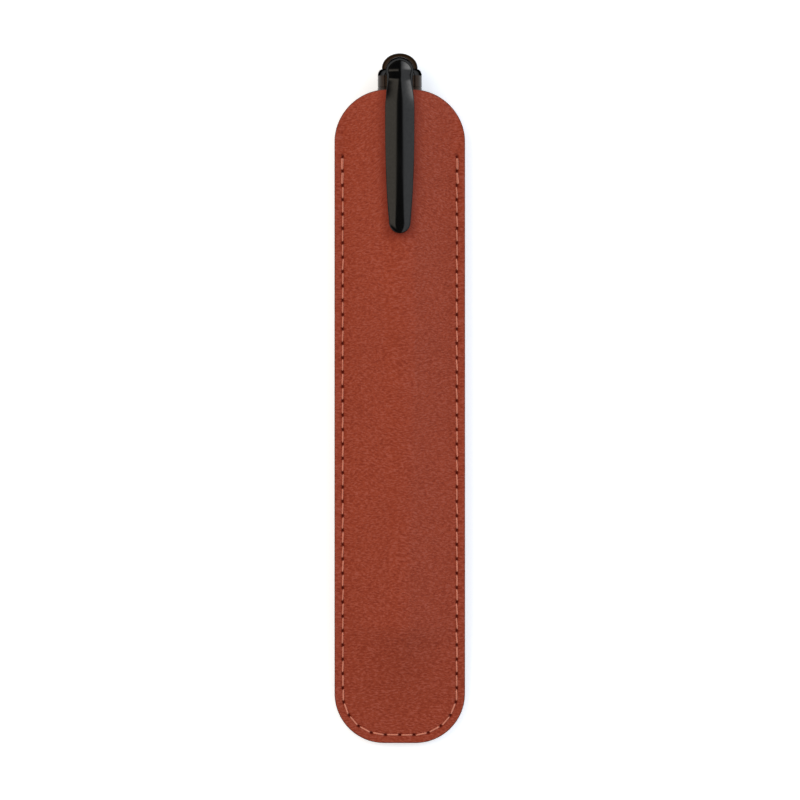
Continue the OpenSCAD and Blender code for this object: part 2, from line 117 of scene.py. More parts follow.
class PenSizes(bpy.types.PropertyGroup):
    """Sizes of the pen that its boxes don't give."""

    tail_d: length("Tail", "Diameter of the barrel at its tail", 0.0076, 0.006, 0.009)
    tail_dome_h: length("Tail Dome", "Height of the domed tail", 0.0038, 0.002, 0.005)
    crown: length("Crown", "Swell of the tapers of barrel and cap, on the diameter",
                  0.00008, 0.0, 0.0002)
    tenon_d: length("Tenon", "Diameter of the tenon that holds the grip in the barrel",
                    0.0064, 0.0056, 0.007)
    grip_waist_d: length("Grip Waist", "Diameter of the grip at its waist", 0.0076, 0.0072, 0.0078)
    nib_len: length("Nib", "Length of the nib beyond the grip", 0.020, 0.016, 0.022)
    nib_d: length("Nib Diameter", "Diameter of the nib where it leaves the grip",
                  0.006, 0.0054, 0.0064)
    nib_tip_d: length("Nib Tip", "Diameter of the nib's cone at its tip", 0.0016, 0.0012, 0.002)
    nib_t: length("Nib Metal", "Thickness of the nib's metal", 0.0003, 0.00025, 0.0004)
    fin_count: IntProperty(
        name="Fins", description="Number of fins under the feed", default=14, min=4, max=24)
    bore_d: length("Cap Bore", "Diameter of the bore that goes over the grip",
                   0.0089, 0.0089, 0.0091)
    cap_top_d: length("Cap Top", "Diameter of the cap at its top", 0.0101, 0.0096, 0.0103)
    cap_end_t: length("Cap End", "Wall of the cap between its bore and the clip's collar",
                      0.0032, 0.002, 0.004)
    collar_h: length("Collar", "Height of the collar that the clip grows from",
                     0.0015, 0.0012, 0.0022)
    finial_d: length("Finial", "Diameter of the domed finial", 0.0082, 0.0076, 0.0086)
    finial_dome_h: length("Finial Dome", "Height of the finial's dome", 0.0034, 0.0028, 0.004)
    post_d: length("Post", "Diameter of the post under the finial", 0.003, 0.0024, 0.0036)
    knob_d: length("Knob", "Diameter of the clip's knob", 0.0064, 0.0058, 0.0068)
    neck_w: length("Clip Neck", "Width of the clip's neck below the knob", 0.0059, 0.0052, 0.0062)
    arm_w: length("Clip Arm", "Greatest width of the clip's arm", 0.0067, 0.006, 0.007)
    tip_w: length("Clip Tip", "Width of the arm beside its round tip", 0.0049, 0.0044, 0.0054)
    arm_t: length("Clip Thickness", "Thickness of the clip's arm", 0.0018, 0.0014, 0.0022)


class SleeveColours(bpy.types.PropertyGroup):
    """Colours of the finishes."""

    leather: colour("Leather", "Colour of the leather's grain side", (0.306, 0.0482, 0.0196))
    edge: colour("Burnished Edge", "Colour of the leather's cut edge", (0.060, 0.014, 0.008))
    suede: colour("Suede", "Colour of the lining", (0.110, 0.035, 0.018))
    thread: colour("Thread", "Colour of the sewing thread", (0.74, 0.255, 0.16))
    lacquer: colour("Lacquer", "Colour of the pen's lacquer", (0.037, 0.025, 0.018))
    clip: colour("Clip", "Colour of the polished clip", (0.045, 0.045, 0.045))
    trim: colour("Trim", "Colour of the metal rings", (0.70, 0.71, 0.73))
    steel: colour("Nib Steel", "Colour of the nib", (0.50, 0.51, 0.53))
    resin: colour("Resin", "Colour of the grip and the feed", (0.012, 0.011, 0.011))


class StudioSettings(bpy.types.PropertyGroup):
    """The studio's light and camera."""

    warm: colour("Left Lamp", "Colour of the lamp and the mirrored strip on the left",
                 (1.0, 0.90, 0.76))
    sky: colour("Right Lamp", "Colour of the lamp on the right", (0.485, 0.70, 1.0))
    cool: colour("Window", "Colour of the mirrored window on the right", (0.93, 0.96, 1.0))
    key_level: FloatProperty(
        name="Key Level", description="Brightness of the two lamps, where 1 is white",
        default=2.1, min=0.0, max=6.0)
    fill_level: FloatProperty(
        name="Fill Level", description="Brightness of the studio's fill light",
        default=0.69, min=0.0, max=2.0)
    lens: FloatProperty(
        name="Lens", description="Focal length of the camera's lens, in millimetres",
        default=400.0, min=50.0, max=500.0)
    frame_w: length("Frame", "Width that the picture shows at the sleeve's edge",
                    0.18376, 0.1, 0.4)


def lengths(group):
    """The lengths of a property group, in millimetres."""
    names = [p.identifier for p in group.bl_rna.properties if getattr(p, "unit", "") == "LENGTH"]
    return SimpleNamespace(**{name: getattr(group, name) / MM for name in names})


def span(node):
    """Lowest and highest corner of a CAD node, in millimetres."""
    low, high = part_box(node)
    return np.array(low) / MM, np.array(high) / MM


def mix(a, b, t):
    return a + (b - a) * t


def ease(t):
    u = np.clip(t, 0, 1)
    return u * u * (3 - 2 * u)


class Moulding:
    """The shape that the leather was pressed into round the pen, in millimetres."""

    # How far inside the toe's seam the parting is at its lowest
    SINK_MARGIN = 3
    # Length over which the back curls up, and the share of it before the parting is at its lowest
    CURL_LEN = 12
    CURL_LEAD = 0.8
    # Length of the bend below the cap's lip, where the hump begins to taper
    KNEE = 5
    # How hard the ridge falls beyond the pen's tail, and the share of that run where it sets in
    FALL_POWER = 2.2
    FALL_KNEE = 0.12
    # Step that a slope is measured with, least run of a rise, and least height of a hump
    PROBE = 0.02
    LEAST_RUN = 0.01
    LEAST_HUMP = 0.005
    # Height, waves across, waves along (radians per millimetre) and phase of each slow ripple
    RIPPLES = ((0.020, 0.31, 0.17, 0.4), (0.014, -0.23, 0.29, 1.9), (0.010, 0.11, -0.47, 3.1))

    def __init__(self, sleeve, seam, pen):
        low, high = span("front_panel")
        ring_low, ring_high = span("barrel_ring")
        band_low, band_high = span("cap_band")
        self.half_w = high[0]
        self.half_len = high[1]
        self.mouth_r = sleeve.mouth_corner_r
        self.toe_r = sleeve.toe_corner_r
        self.toe_centre = self.toe_r - self.half_len
        self.mouth_centre = self.half_len - self.mouth_r
        self.seam_inset = seam.inset
        self.bend_w = sleeve.bend_w
        self.lining_t = sleeve.lining_t
        self.wall = sleeve.leather_t + sleeve.lining_t
        self.parting_h = sleeve.parting_h
        self.toe_parting_h = sleeve.toe_parting_h
        self.strip = sleeve.rest_strip_w / 2
        self.axis_h = (ring_low[2] + ring_high[2]) / 2
        self.cap_lip = band_low[1]
        self.pen_tail = span("barrel")[0][1]
        self.tail_start = self.pen_tail + pen.tail_dome_h
        self.sink_start = self.pen_tail + 2 * pen.tail_dome_h
        self.sink_end = self.seam_inset + self.SINK_MARGIN - self.half_len
        self.fall_end = self.seam_inset + self.bend_w / 2 - self.half_len
        self.hump_tail_r = pen.tail_d / 2 + sleeve.pocket_play
        self.hump_lip_r = (band_high[0] - band_low[0]) / 2 + sleeve.pocket_play
        self.hump_rise = (self.hump_lip_r - self.hump_tail_r) / (self.cap_lip - self.tail_start)
        self.leather_top = self.axis_h + self.hump_lip_r + self.wall

    def inset_half(self, y, inset):
        """Half the width of an outline that is inset from the edge; the mouth counts as square."""
        reach = np.maximum(0, (self.toe_r - inset) ** 2 - (self.toe_centre - y) ** 2)
        return np.where(y < self.toe_centre, self.half_w - self.toe_r + np.sqrt(reach),
                        self.half_w - inset)

    def parting(self, y):
        sunk = ease((y - self.sink_end) / (self.sink_start - self.sink_end))
        return mix(self.toe_parting_h, self.parting_h, sunk)

    def back_inner(self, x, y):
        curl = ease((self.sink_end - y) / self.CURL_LEN + self.CURL_LEAD)
        floor = self.wall + (self.toe_parting_h - self.wall) * curl
        foot = self.inset_half(y, self.seam_inset + self.bend_w / 2)
        run = np.maximum(foot - self.strip, self.LEAST_RUN)
        rise = np.where(foot > self.strip, ease((np.abs(x) - self.strip) / run), 1)
        return mix(floor, self.parting(y), rise)

    def hump_r(self, y):
        d = self.cap_lip - y
        straight = np.minimum(d, self.cap_lip - self.tail_start) - self.KNEE / 2
        fallen = np.where(d > self.KNEE, straight, np.maximum(0, d) ** 2 / (2 * self.KNEE))
        return self.hump_lip_r - self.hump_rise * fallen

    def ridge(self, y):
        """Height of the front's ridge over the parting."""
        t = np.clip((self.pen_tail - y) / (self.pen_tail - self.fall_end), 0, 1)
        fall = np.maximum(0, 1 - t * t * (1 + self.FALL_KNEE) / (t + self.FALL_KNEE))
        at = np.maximum(y, self.pen_tail)
        return (self.axis_h + self.hump_r(at) - self.parting(at)) * fall ** self.FALL_POWER

    def front_inner(self, x, y):
        a = np.abs(x)
        foot = self.inset_half(y, self.seam_inset + self.bend_w / 2)
        half_bend = self.bend_w / 2
        r = self.hump_r(np.maximum(y, self.pen_tail))
        h = self.ridge(y)
        drop = h - r
        slope = np.arctan2(drop, foot) + np.arcsin(np.minimum(1, r / np.hypot(foot, drop)))
        crest = drop + np.sqrt(np.maximum(0, r * r - a * a))
        flank = (foot - a) * np.tan(slope)
        bend = np.tan(slope) * (foot + half_bend - a) ** 2 / (2 * self.bend_w)
        tent = np.select([h < self.LEAST_HUMP, a < r * np.sin(slope), a < foot - half_bend,
                          a < foot + half_bend], [0 * h, crest, flank, bend], 0)
        return self.parting(y) + tent

    def stretch(self, shape, x, y):
        """How much taller than it is thick a sheet stands on its slope."""
        p = self.PROBE
        dx = (shape(x + p, y) - shape(x - p, y)) / (2 * p)
        dy = (shape(x, y + p) - shape(x, y - p)) / (2 * p)
        return np.sqrt(1 + dx * dx + dy * dy)

    def ripple(self, x, y):
        return sum(h * np.sin(u * x + v * y + phase) for h, u, v, phase in self.RIPPLES)

    def front_at(self, t):
        return lambda x, y: (self.front_inner(x, y) + self.ripple(x, y)
                             + t * self.stretch(self.front_inner, x, y))

    def back_at(self, t):
        return lambda x, y: (self.back_inner(x, y)
                             - t * self.stretch(self.back_inner, x, y))


class Seam:
    """The line of needle holes, walked from the middle of the toe, in millimetres."""

    # Half the groove's width in threads; height, distance and narrowness of the swell beside it
    GROOVE_W = 2.2
    SWELL_H = 0.3
    SWELL_AT = 1.8
    SWELL_NARROW = 3

    def __init__(self, moulding, seam):
        m = moulding
        self.moulding = m
        self.size = seam
        self.r = m.toe_r - seam.inset
        self.flat = m.half_w - m.toe_r
        self.bend = self.r * math.pi / 2
        self.half = self.flat + self.bend + m.half_len - seam.start - m.toe_centre
        self.count = 2 * round(self.half / seam.pitch)
        self.step = 2 * self.half / self.count

    def place(self, s):
        """The seam's point at a distance s from the toe's middle, negative on the left."""
        m = self.moulding
        d = abs(s)
        turn = (d - self.flat) / self.r
        side = math.copysign(1, s)
        if d < self.flat:
            return np.array([s, m.toe_centre - self.r])
        if d < self.flat + self.bend:
            return np.array([side * (self.flat + self.r * math.sin(turn)),
                             m.toe_centre - self.r * math.cos(turn)])
        return np.array([side * (self.flat + self.r), m.toe_centre + d - self.flat - self.bend])

    def relief(self, s, t):
        """How deep the leather is drawn in and how open a hole is, at distance s and inset t."""
        nearest = np.clip(np.round(s / self.step) * self.step, -self.half, self.half)
        along = (s - nearest) / (self.size.hole_len / 2)
        aside = (t - self.size.inset) / (self.size.hole_w / 2)
        hole = np.exp(-(along ** 2 + aside ** 2) ** 1.5)
        sewn = ease((self.half + self.step / 3 - np.abs(s)) / (self.step / 3))
        wide = (t - self.size.inset) / (self.GROOVE_W * self.size.thread_d)
        groove = self.size.groove_depth * np.exp(-wide ** 2) * sewn
        beside = np.exp(-(np.abs(wide) - self.SWELL_AT) ** 2 * self.SWELL_NARROW)
        swell = self.SWELL_H * self.size.groove_depth * beside * sewn
        return groove - swell + self.size.hole_depth * hole, hole


class Plan:
    """How a sheet is cut into faces: rings that follow the edge, then rows across the middle."""

    # Places within one stitch, as shares of it: close together at its two holes
    STITCH_SHARES = (0.0, 0.05, 0.11, 0.19, 0.33, 0.5, 0.67, 0.81, 0.89, 0.95)
    # Insets of the rings over the rounded edge, between it and the seam, and inside the seam
    EDGE_INSETS = (0.0, 0.05, 0.12, 0.21, 0.3, 0.6, 1.0)
    INNER_INSETS = (2.8, 3.3)
    # An inset beyond the edge's finish, and a share of the seam beyond its last stitch
    FAR = 9.0

    def __init__(self, moulding, seam, fine):
        m = moulding
        self.moulding = m
        corner, columns = (28, 48) if fine else (12, 24)
        shares = self.STITCH_SHARES if fine else (0.0, 0.5)
        beside = np.array([0.52, 0.4, 0.27, 0.13, 0]) if fine else np.array([0.5, 0])
        self.insets = np.array([
            *self.EDGE_INSETS, *(seam.size.inset - beside),
            *(seam.size.inset + beside[-2::-1]), *self.INNER_INSETS])

        walk = [seam.half - (k + q) * seam.step for k in range(seam.count // 2 + 1) for q in shares]
        walk = [s for s in reversed(walk) if s > seam.flat + 0.02]
        turns = [(s - seam.flat) / seam.r for s in walk if s < seam.flat + seam.bend]
        levels = [m.toe_centre + s - seam.flat - seam.bend for s in walk
                  if s >= seam.flat + seam.bend]
        above = np.linspace(levels[-1], m.mouth_centre, 5)[1:]
        arcs = np.linspace(0, math.pi / 2, corner + 1)[1:]
        toe_x, mouth_x = m.half_w - m.toe_r, m.half_w - m.mouth_r
        stations = (
            [(toe_x, m.toe_centre, math.sin(a), -math.cos(a), m.toe_r, seam.flat + a * seam.r)
             for a in [0.0, *turns]]
            + [(toe_x, y, 1.0, 0.0, m.toe_r, y - m.toe_centre + seam.flat + seam.bend)
               for y in [*levels, *above]]
            + [(mouth_x, m.mouth_centre, math.cos(a), math.sin(a), m.mouth_r, self.FAR * seam.half)
               for a in arcs])
        self.right = np.array(stations)
        self.shares = np.linspace(-1, 1, columns + 1)
        self.rows = len(stations)
        self.columns = columns + 1

    def loop(self):
        """Centre, direction, radius and seam distance of every point round the edge."""
        right = self.right
        left = right * [-1, 1, -1, 1, 1, -1]
        toe, mouth = right[0], right[-1]
        toe_flat = [(q * toe[0], toe[1], 0, -1, toe[4], q * toe[0]) for q in self.shares]
        mouth_flat = [(q * mouth[0], mouth[1], 0, 1, mouth[4], mouth[5]) for q in self.shares]
        return np.array([*toe_flat, *right[1:], *mouth_flat[-2::-1], *left[-2:0:-1]])

    def points(self):
        """(x, y, inset, seam distance) of each point of one face of the sheet."""
        cx, cy, dx, dy, r, s = self.loop().T
        rings = [np.stack([cx + (r - t) * dx, cy + (r - t) * dy, 0 * s + t, s], axis=1)
                 for t in self.insets]
        deep = self.insets[-1]
        inner = self.right[1:-1]
        reach = inner[:, 0] + (inner[:, 4] - deep) * inner[:, 2]
        level = inner[:, 1] + (inner[:, 4] - deep) * inner[:, 3]
        x = np.outer(reach, self.shares[1:-1])
        y = np.repeat(level[:, None], self.columns - 2, axis=1)
        far = np.full(x.size, self.FAR * abs(self.right[-1, 5]))
        middle = np.stack([x.ravel(), y.ravel(), np.full(x.size, self.FAR), far], axis=1)
        return np.concatenate([*rings, middle])

    def faces(self):
        """The quads of one face of the sheet, turning left, and the loop round its edge."""
        n = len(self.loop())
        rings = np.arange(len(self.insets) * n).reshape(-1, n)
        after = np.roll(rings, -1, axis=1)
        band = np.stack([rings[:-1], after[:-1], after[1:], rings[1:]], axis=-1).reshape(-1, 4)
        last = rings[-1]
        c, m = self.columns, self.rows
        grid = np.empty((m, c), dtype=int)
        grid[0] = last[:c]
        grid[1:, -1] = last[c:c + m - 1]
        grid[-1, :-1] = last[c + m - 1:2 * c + m - 2][::-1]
        grid[1:-1, 0] = last[2 * c + m - 2:][::-1]
        grid[1:-1, 1:-1] = rings.size + np.arange((m - 2) * (c - 2)).reshape(m - 2, c - 2)
        across = np.stack([grid[:-1, :-1], grid[:-1, 1:], grid[1:, 1:], grid[1:, :-1]], axis=-1)
        return np.concatenate([band, across.reshape(-1, 4)]), rings[0]


class Value:
    """A node's output that takes part in Python arithmetic."""

    def __init__(self, graph, node, output):
        self.graph = graph
        self.node = node
        self.socket = node.outputs[output]

    def out(self, output):
        """Another output of the same node."""
        return Value(self.graph, self.node, output)

    def __add__(self, other):
        return self.graph.maths("ADD", self, other)

    def __sub__(self, other):
        return self.graph.maths("SUBTRACT", self, other)

    def __rsub__(self, other):
        return self.graph.maths("SUBTRACT", other, self)

    def __mul__(self, other):
        return self.graph.maths("MULTIPLY", self, other)

    def __truediv__(self, other):
        return self.graph.maths("DIVIDE", self, other)

    def __pow__(self, other):
        return self.graph.maths("POWER", self, other)

    __radd__ = __add__
    __rmul__ = __mul__


class Graph:
    """A node tree that is written as expressions."""

    def __init__(self, tree):
        self.tree = tree
        tree.nodes.clear()

    def add(self, kind, settings=(), inputs=(), out=0):
        """Makes a node: its settings first, then the values or links of its inputs."""
        node = self.tree.nodes.new(kind)
        for name, value in dict(settings).items():
            setattr(node, name, value)
        for key, value in dict(inputs).items():
            self.put(node.inputs[key], value)
        return Value(self, node, out) if len(node.outputs) else node

    def put(self, socket, value):
        """Links a value to a socket, or sets a constant on it."""
        if isinstance(value, Value):
            self.tree.links.new(value.socket, socket)
        else:
            socket.default_value = (*value, 1) if socket.type == "RGBA" else value

    def maths(self, operation, *values):
        return self.add("ShaderNodeMath", {"operation": operation}, enumerate(values))

    def vector(self, operation, *values):
        return self.add("ShaderNodeVectorMath", {"operation": operation}, enumerate(values))

    def blend(self, share, a, b):
        """Colour a where share is 0, colour b where it is 1."""
        return self.add("ShaderNodeMix", {"data_type": "RGBA"}, {0: share, 6: a, 7: b}, out=2)

    def step(self, value, low, high):
        """An eased step from 0 at low to 1 at high."""
        return self.add("ShaderNodeMapRange", {"interpolation_type": "SMOOTHSTEP"},
                        {"Value": value, "From Min": low, "From Max": high})

    def xyz(self, x, y, z):
        return self.add("ShaderNodeCombineXYZ", (), {"X": x, "Y": y, "Z": z})

    def split(self, vector):
        """The three numbers of a vector."""
        parts = self.add("ShaderNodeSeparateXYZ", (), {"Vector": vector})
        return parts, parts.out("Y"), parts.out("Z")

    def noise(self, vector, scale, detail=2.0, roughness=0.5):
        return self.add("ShaderNodeTexNoise", (), {
            "Vector": vector, "Scale": scale, "Detail": detail, "Roughness": roughness})

    def attribute(self, name):
        return self.add("ShaderNodeAttribute", {"attribute_name": name}, (), out="Fac")


class Finish(Graph):
    """A material with one principled shader, whose patterns are scaled per millimetre."""

    def __init__(self, name, **constants):
        """Starts a finish; constants are sockets of the shader, with _ for each space."""
        self.material = bpy.data.materials.new(name)
        self.material.use_nodes = True
        super().__init__(self.material.node_tree)
        self.shader = self.add("ShaderNodeBsdfPrincipled")
        for socket, value in constants.items():
            self.set(socket.replace("_", " "), value)
        self.add("ShaderNodeOutputMaterial", (), {"Surface": self.shader})
        here = self.add("ShaderNodeTexCoord", (), (), out="Object")
        self.place = self.add("ShaderNodeVectorMath", {"operation": "SCALE"},
                              {"Vector": here, "Scale": 1 / MM})

    def set(self, name, value):
        self.put(self.shader.node.inputs[name], value)

    def bump(self, height):
        """Turns a height in millimetres into the shader's normal."""
        self.set("Normal", self.add("ShaderNodeBump", (), {
            "Strength": 1.0, "Distance": MM, "Height": height}))

    def stretched(self, x, y, z):
        """The place with each axis scaled, for a pattern that runs one way."""
        return self.vector("MULTIPLY", self.place, (x, y, z))


def shade(base, share):
    return tuple(c * share for c in base)


def deeper(base, share):
    """A darker and purer shade, as where a colour lies in its own shadow."""
    red, *others = base
    return (red * share, *(c * share ** 1.8 for c in others))


def leather_finish(name, colours):
    """Fine-grained leather: creases drawn out sideways over small pebbles, and a burnished edge."""
    # Places along the sleeve in millimetres: where the clip begins to pull the creases and where it
    # pulls them fully, where the painted shadow beside its arm narrows, where that painted shadow
    # fades out below its tip, and where the painted shade towards the toe begins and where it is
    # full
    pull_from, pull_full, shadow_narrows = 34.0, 58.0, (58.0, 41.0)
    shadow_end, toe = (39.5, 42.0), (0.0, -75.0)
    # This far beside the middle the pull is as long as its reach, over which it fades outwards
    beside, reach = 3, 2.6

    f = Finish(name, Specular_IOR_Level=0.12)
    x, y, _ = f.split(f.place)
    # Beside the clip the creases run down and outwards, where the leather is pulled over the pen
    aside = f.maths("ABSOLUTE", x)
    pull = reach * f.maths("EXPONENT", (beside - aside) / reach)
    lean = f.xyz(0.0, 0 - pull * f.step(y, pull_from, pull_full), 0.0)
    drift = f.noise(f.stretched(0.07, 0.07, 0.07), 1.0, 2.0)
    warp = f.add("ShaderNodeVectorMath", {"operation": "MULTIPLY_ADD"},
                 {0: drift.out("Color"), 1: (1.6, 4.0, 1.0), 2: f.vector("ADD", f.place, lean)})
    crease = f.noise(f.vector("MULTIPLY", warp, (1.2, 3.3, 1.1)), 1.0, 2.0, 0.6)
    pebble = f.add("ShaderNodeTexVoronoi", {"feature": "SMOOTH_F1"},
                   {"Vector": f.vector("MULTIPLY", warp, (1.8, 2.9, 1.4)), "Scale": 1.0,
                    "Smoothness": 0.5, "Randomness": 1.0}, out="Distance")
    pore = f.noise(f.place, 2.4, 2.0, 0.6)
    domed = 1 - f.step(pebble, 0.1, 0.75)
    f.bump(domed * 0.04 + crease * 0.16 + pore * 0.04)

    mottle = f.noise(f.stretched(0.09, 0.05, 0.09), 1.0, 3.0)
    base = tuple(colours.leather)
    tone = f.blend(f.step(mottle, 0.3, 0.7), shade(base, 0.99), shade(base, 1.04))
    # Painted shade: darker towards the toe, for the light that falls off there
    tone = f.blend(f.step(y, *toe), tone, shade(base, 0.93))
    # Painted shade: darker and purer in the creases and between the pebbles, where shade falls
    painted_crease_shade = f.step(crease, 0.52, 0.34) * 0.5 + f.step(domed, 0.45, 0.0) * 0.2
    tone = f.blend(painted_crease_shade, tone, deeper(base, 0.6))
    # Painted highlight: lighter and whiter along the raised lines of the creases, for the sheen
    # they catch
    tone = f.blend(f.step(crease, 0.5, 0.66) * 0.7, tone, tuple(1.1 * c + 0.03 for c in base))
    # Painted shadow: the leather is darker along both sides of the clip's arm, for the arm's
    # contact shadow
    clip_shadow = f.step(aside + 0.9 * f.step(y, *shadow_narrows), 5.8, 3.2) * f.step(y, *shadow_end)
    tone = f.blend(clip_shadow * 0.6, tone, deeper(base, 0.6))
    burnish = f.attribute("burnish")
    tone = f.blend(burnish, tone, tuple(colours.edge))
    # Painted shade: darker and purer in the needle holes, where shade falls inside them
    tone = f.blend(f.attribute("pit"), tone, deeper(base, 0.35))
    f.set("Base Color", tone)
    f.set("Roughness", 0.42 + 0.16 * crease - 0.08 * burnish)
    return f.material


def suede_finish(name, colours):
    """Napped suede: soft, dull, with brushed patches."""
    f = Finish(name, Specular_IOR_Level=0.12, Roughness=0.95, Sheen_Weight=0.25,
               Sheen_Roughness=0.5)
    nap = f.noise(f.place, 6.0, 3.0, 0.7)
    brushed = f.noise(f.stretched(0.25, 0.12, 0.25), 1.0, 2.0)
    base = tuple(colours.suede)
    tone = f.blend(f.step(brushed, 0.35, 0.65), shade(base, 0.8), shade(base, 1.15))
    tone = f.blend(f.step(nap, 0.3, 0.7) * 0.5, tone, shade(base, 0.6))
    tone = f.blend(f.attribute("burnish"), tone, tuple(colours.edge))
    f.set("Base Color", tone)
    f.bump(nap * 0.05)
    return f.material


def thread_finish(name, colours):
    """Waxed polyester thread: fine fibres with a low sheen."""
    f = Finish(name, Specular_IOR_Level=0.3, Roughness=0.55, Sheen_Weight=0.1)
    fibre = f.noise(f.place, 9.0, 2.0, 0.6)
    dye = f.noise(f.place, 0.35, 1.0)
    base = tuple(colours.thread)
    tone = f.blend(f.step(dye, 0.35, 0.65), shade(base, 0.9), base)
    f.set("Base Color", f.blend(f.step(fibre, 0.35, 0.65) * 0.4, tone, shade(base, 0.6)))
    f.bump(fibre * 0.03)
    return f.material


def gloss_finish(name, base, rim, roughness=0.12, haze=0.06):
    """Dark plated gloss, hazed in patches; rim is how bright it is where it turns away."""
    f = Finish(name, Metallic=1.0, Specular_Tint=3 * (rim,))
    smear = f.noise(f.stretched(0.25, 0.08, 0.25), 1.0, 3.0, 0.6)
    speck = f.noise(f.place, 2.2, 2.0)
    f.set("Base Color", f.blend(f.step(speck, 0.3, 0.7), shade(base, 0.85), tuple(base)))
    f.set("Roughness", roughness + haze * f.step(smear, 0.45, 0.75))
    f.bump(speck * 0.0006)
    return f.material


def lacquer_finish(name, colours, rim):
    """The lacquer of the pen's tubes and of its finial."""
    return gloss_finish(name, colours.lacquer, rim)


def clip_finish(name, colours):
    """The clip's polished black, smoother than the lacquer."""
    return gloss_finish(name, colours.clip, rim=0.15, roughness=0.11, haze=0.04)


def trim_finish(name, colours):
    """Polished metal with hairlines round the ring."""
    f = Finish(name, Metallic=1.0)
    hair = f.noise(f.stretched(0.15, 14.0, 0.15), 1.0, 2.0)
    cloud = f.noise(f.place, 0.5, 2.0)
    base = tuple(colours.trim)
    f.set("Base Color", f.blend(f.step(cloud, 0.3, 0.7), shade(base, 0.94), base))
    f.set("Roughness", 0.12 + 0.14 * f.step(hair, 0.35, 0.7))
    f.bump(hair * 0.0015)
    return f.material


def steel_finish(name, colours):
    """Nib steel, brushed from root to tip, with a line engraved inside its edge."""
    f = Finish(name, Metallic=1.0)
    brushed = f.noise(f.stretched(11.0, 0.35, 11.0), 1.0, 3.0)
    base = tuple(colours.steel)
    line = f.attribute("engraved")
    tone = f.blend(f.step(brushed, 0.35, 0.65) * 0.5, base, shade(base, 0.8))
    f.set("Base Color", f.blend(line * 0.7, tone, shade(base, 0.25)))
    f.set("Roughness", 0.2 + 0.12 * brushed + 0.2 * line)
    f.bump(brushed * 0.003)
    return f.material


def resin_finish(name, colours, roughness, grain):
    """Moulded resin: smooth on the grip, faintly grained on the feed."""
    f = Finish(name, Specular_IOR_Level=0.45)
    speck = f.noise(f.place, 7.0, 2.0)
    flow = f.noise(f.stretched(0.5, 0.15, 0.5), 1.0, 2.0)
    base = tuple(colours.resin)
    f.set("Base Color", f.blend(f.step(flow, 0.3, 0.7), shade(base, 0.8), shade(base, 1.2)))
    f.set("Roughness", roughness + 0.08 * flow)
    f.bump(speck * grain)
    return f.material


def finish_named(name, make, *values):
    """The material of that name, made on first use."""
    return bpy.data.materials.get(name) or make(name, *values)


def placed(name, data):
    """A new object in the scene, at the origin."""
    obj = bpy.data.objects.new(name, data)
    bpy.context.scene.collection.objects.link(obj)
    return obj


def assign(obj, body, node):
    """Puts a finished piece on the body that it rides on, and hides the node that it stands for."""
    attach(obj, body)
    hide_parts(node)


def turn_outwards(mesh, sharp, reach=0.0):
    """Merges points within a reach in millimetres, turns the faces outwards and marks the edges."""
    skin = bmesh.new()
    skin.from_mesh(mesh)
    if reach:
        bmesh.ops.remove_doubles(skin, verts=skin.verts, dist=reach * MM)
    bmesh.ops.recalc_face_normals(skin, faces=skin.faces)
    skin.to_mesh(mesh)
    skin.free()
    mesh.set_sharp_from_angle(angle=math.radians(sharp))


def mesh_object(name, points, faces, material, sharp=40):
    """A smooth mesh from points in millimetres, with sharp edges where it turns further."""
    mesh = bpy.data.meshes.new(name)
    mesh.from_pydata((np.asarray(points) * MM).tolist(), [],
                     faces.tolist() if isinstance(faces, np.ndarray) else faces)
    mesh.shade_smooth()
    turn_outwards(mesh, sharp)
    mesh.materials.append(material)
    return placed(name, mesh)


def set_attribute(obj, name, values):
    layer = obj.data.attributes.new(name, "FLOAT", "POINT")
    layer.data.foreach_set("value", np.asarray(values, dtype=np.float32))


def edge_drop(inset, r):
    """How far a face has fallen at an inset from its edge, which is rounded to a radius r."""
    reach = np.clip(1 - inset / r, 0, 1)
    return r * (1 - np.sqrt(1 - reach ** 2))


def sheet_object(name, plan, seam, low, high, material, sewn_side, edge_r):
    """A closed sheet between two heights; sewn_side is 1 for the seam on top, -1 below, 0 none."""
    flat = plan.points()
    quads, rim = plan.faces()
    x, y, inset, s = flat.T
    drawn_in, hole = seam.relief(s, inset) if sewn_side else (0 * s, 0 * s)
    drop = edge_drop(inset, edge_r)
    top = high(x, y) - (drop + drawn_in if sewn_side >= 0 else 0)
    bottom = low(x, y) + (drop + drawn_in if sewn_side < 0 else 0)
    points = np.concatenate([np.stack([x, y, top], axis=1), np.stack([x, y, bottom], axis=1)])
    n = len(flat)
    after = np.roll(rim, -1)
    walls = np.stack([rim + n, after + n, after, rim], axis=1)
    faces = np.concatenate([quads, quads[:, ::-1] + n, walls])
    obj = mesh_object(name, points, faces, material, sharp=60)
    # The burnish of a cut edge ends this far in, and fades over most of that width
    burnish_w, fade_w = 0.2, 0.16
    burnish = np.clip((burnish_w - inset) / fade_w, 0, 1)
    set_attribute(obj, "burnish", np.concatenate([burnish, burnish]))
    set_attribute(obj, "pit", np.concatenate([hole, hole]))
    return obj


def round_corners(profile, steps=4):
    """Rounds the corners of a profile of (along, radius, rounding); rounding 0 stays sharp."""
    made = []
    for k, (y, r, rounding) in enumerate(profile):
        here = np.array([y, r])
        if not rounding or k in (0, len(profile) - 1):
            made.append(here)
            continue
        before = np.array(profile[k - 1][:2]) - here
        after = np.array(profile[k + 1][:2]) - here
        a = here + before / np.linalg.norm(before) * rounding
        b = here + after / np.linalg.norm(after) * rounding
        for q in np.linspace(0, 1, steps + 1):
            made.append((1 - q) ** 2 * a + 2 * q * (1 - q) * here + q * q * b)
    return np.array(made)


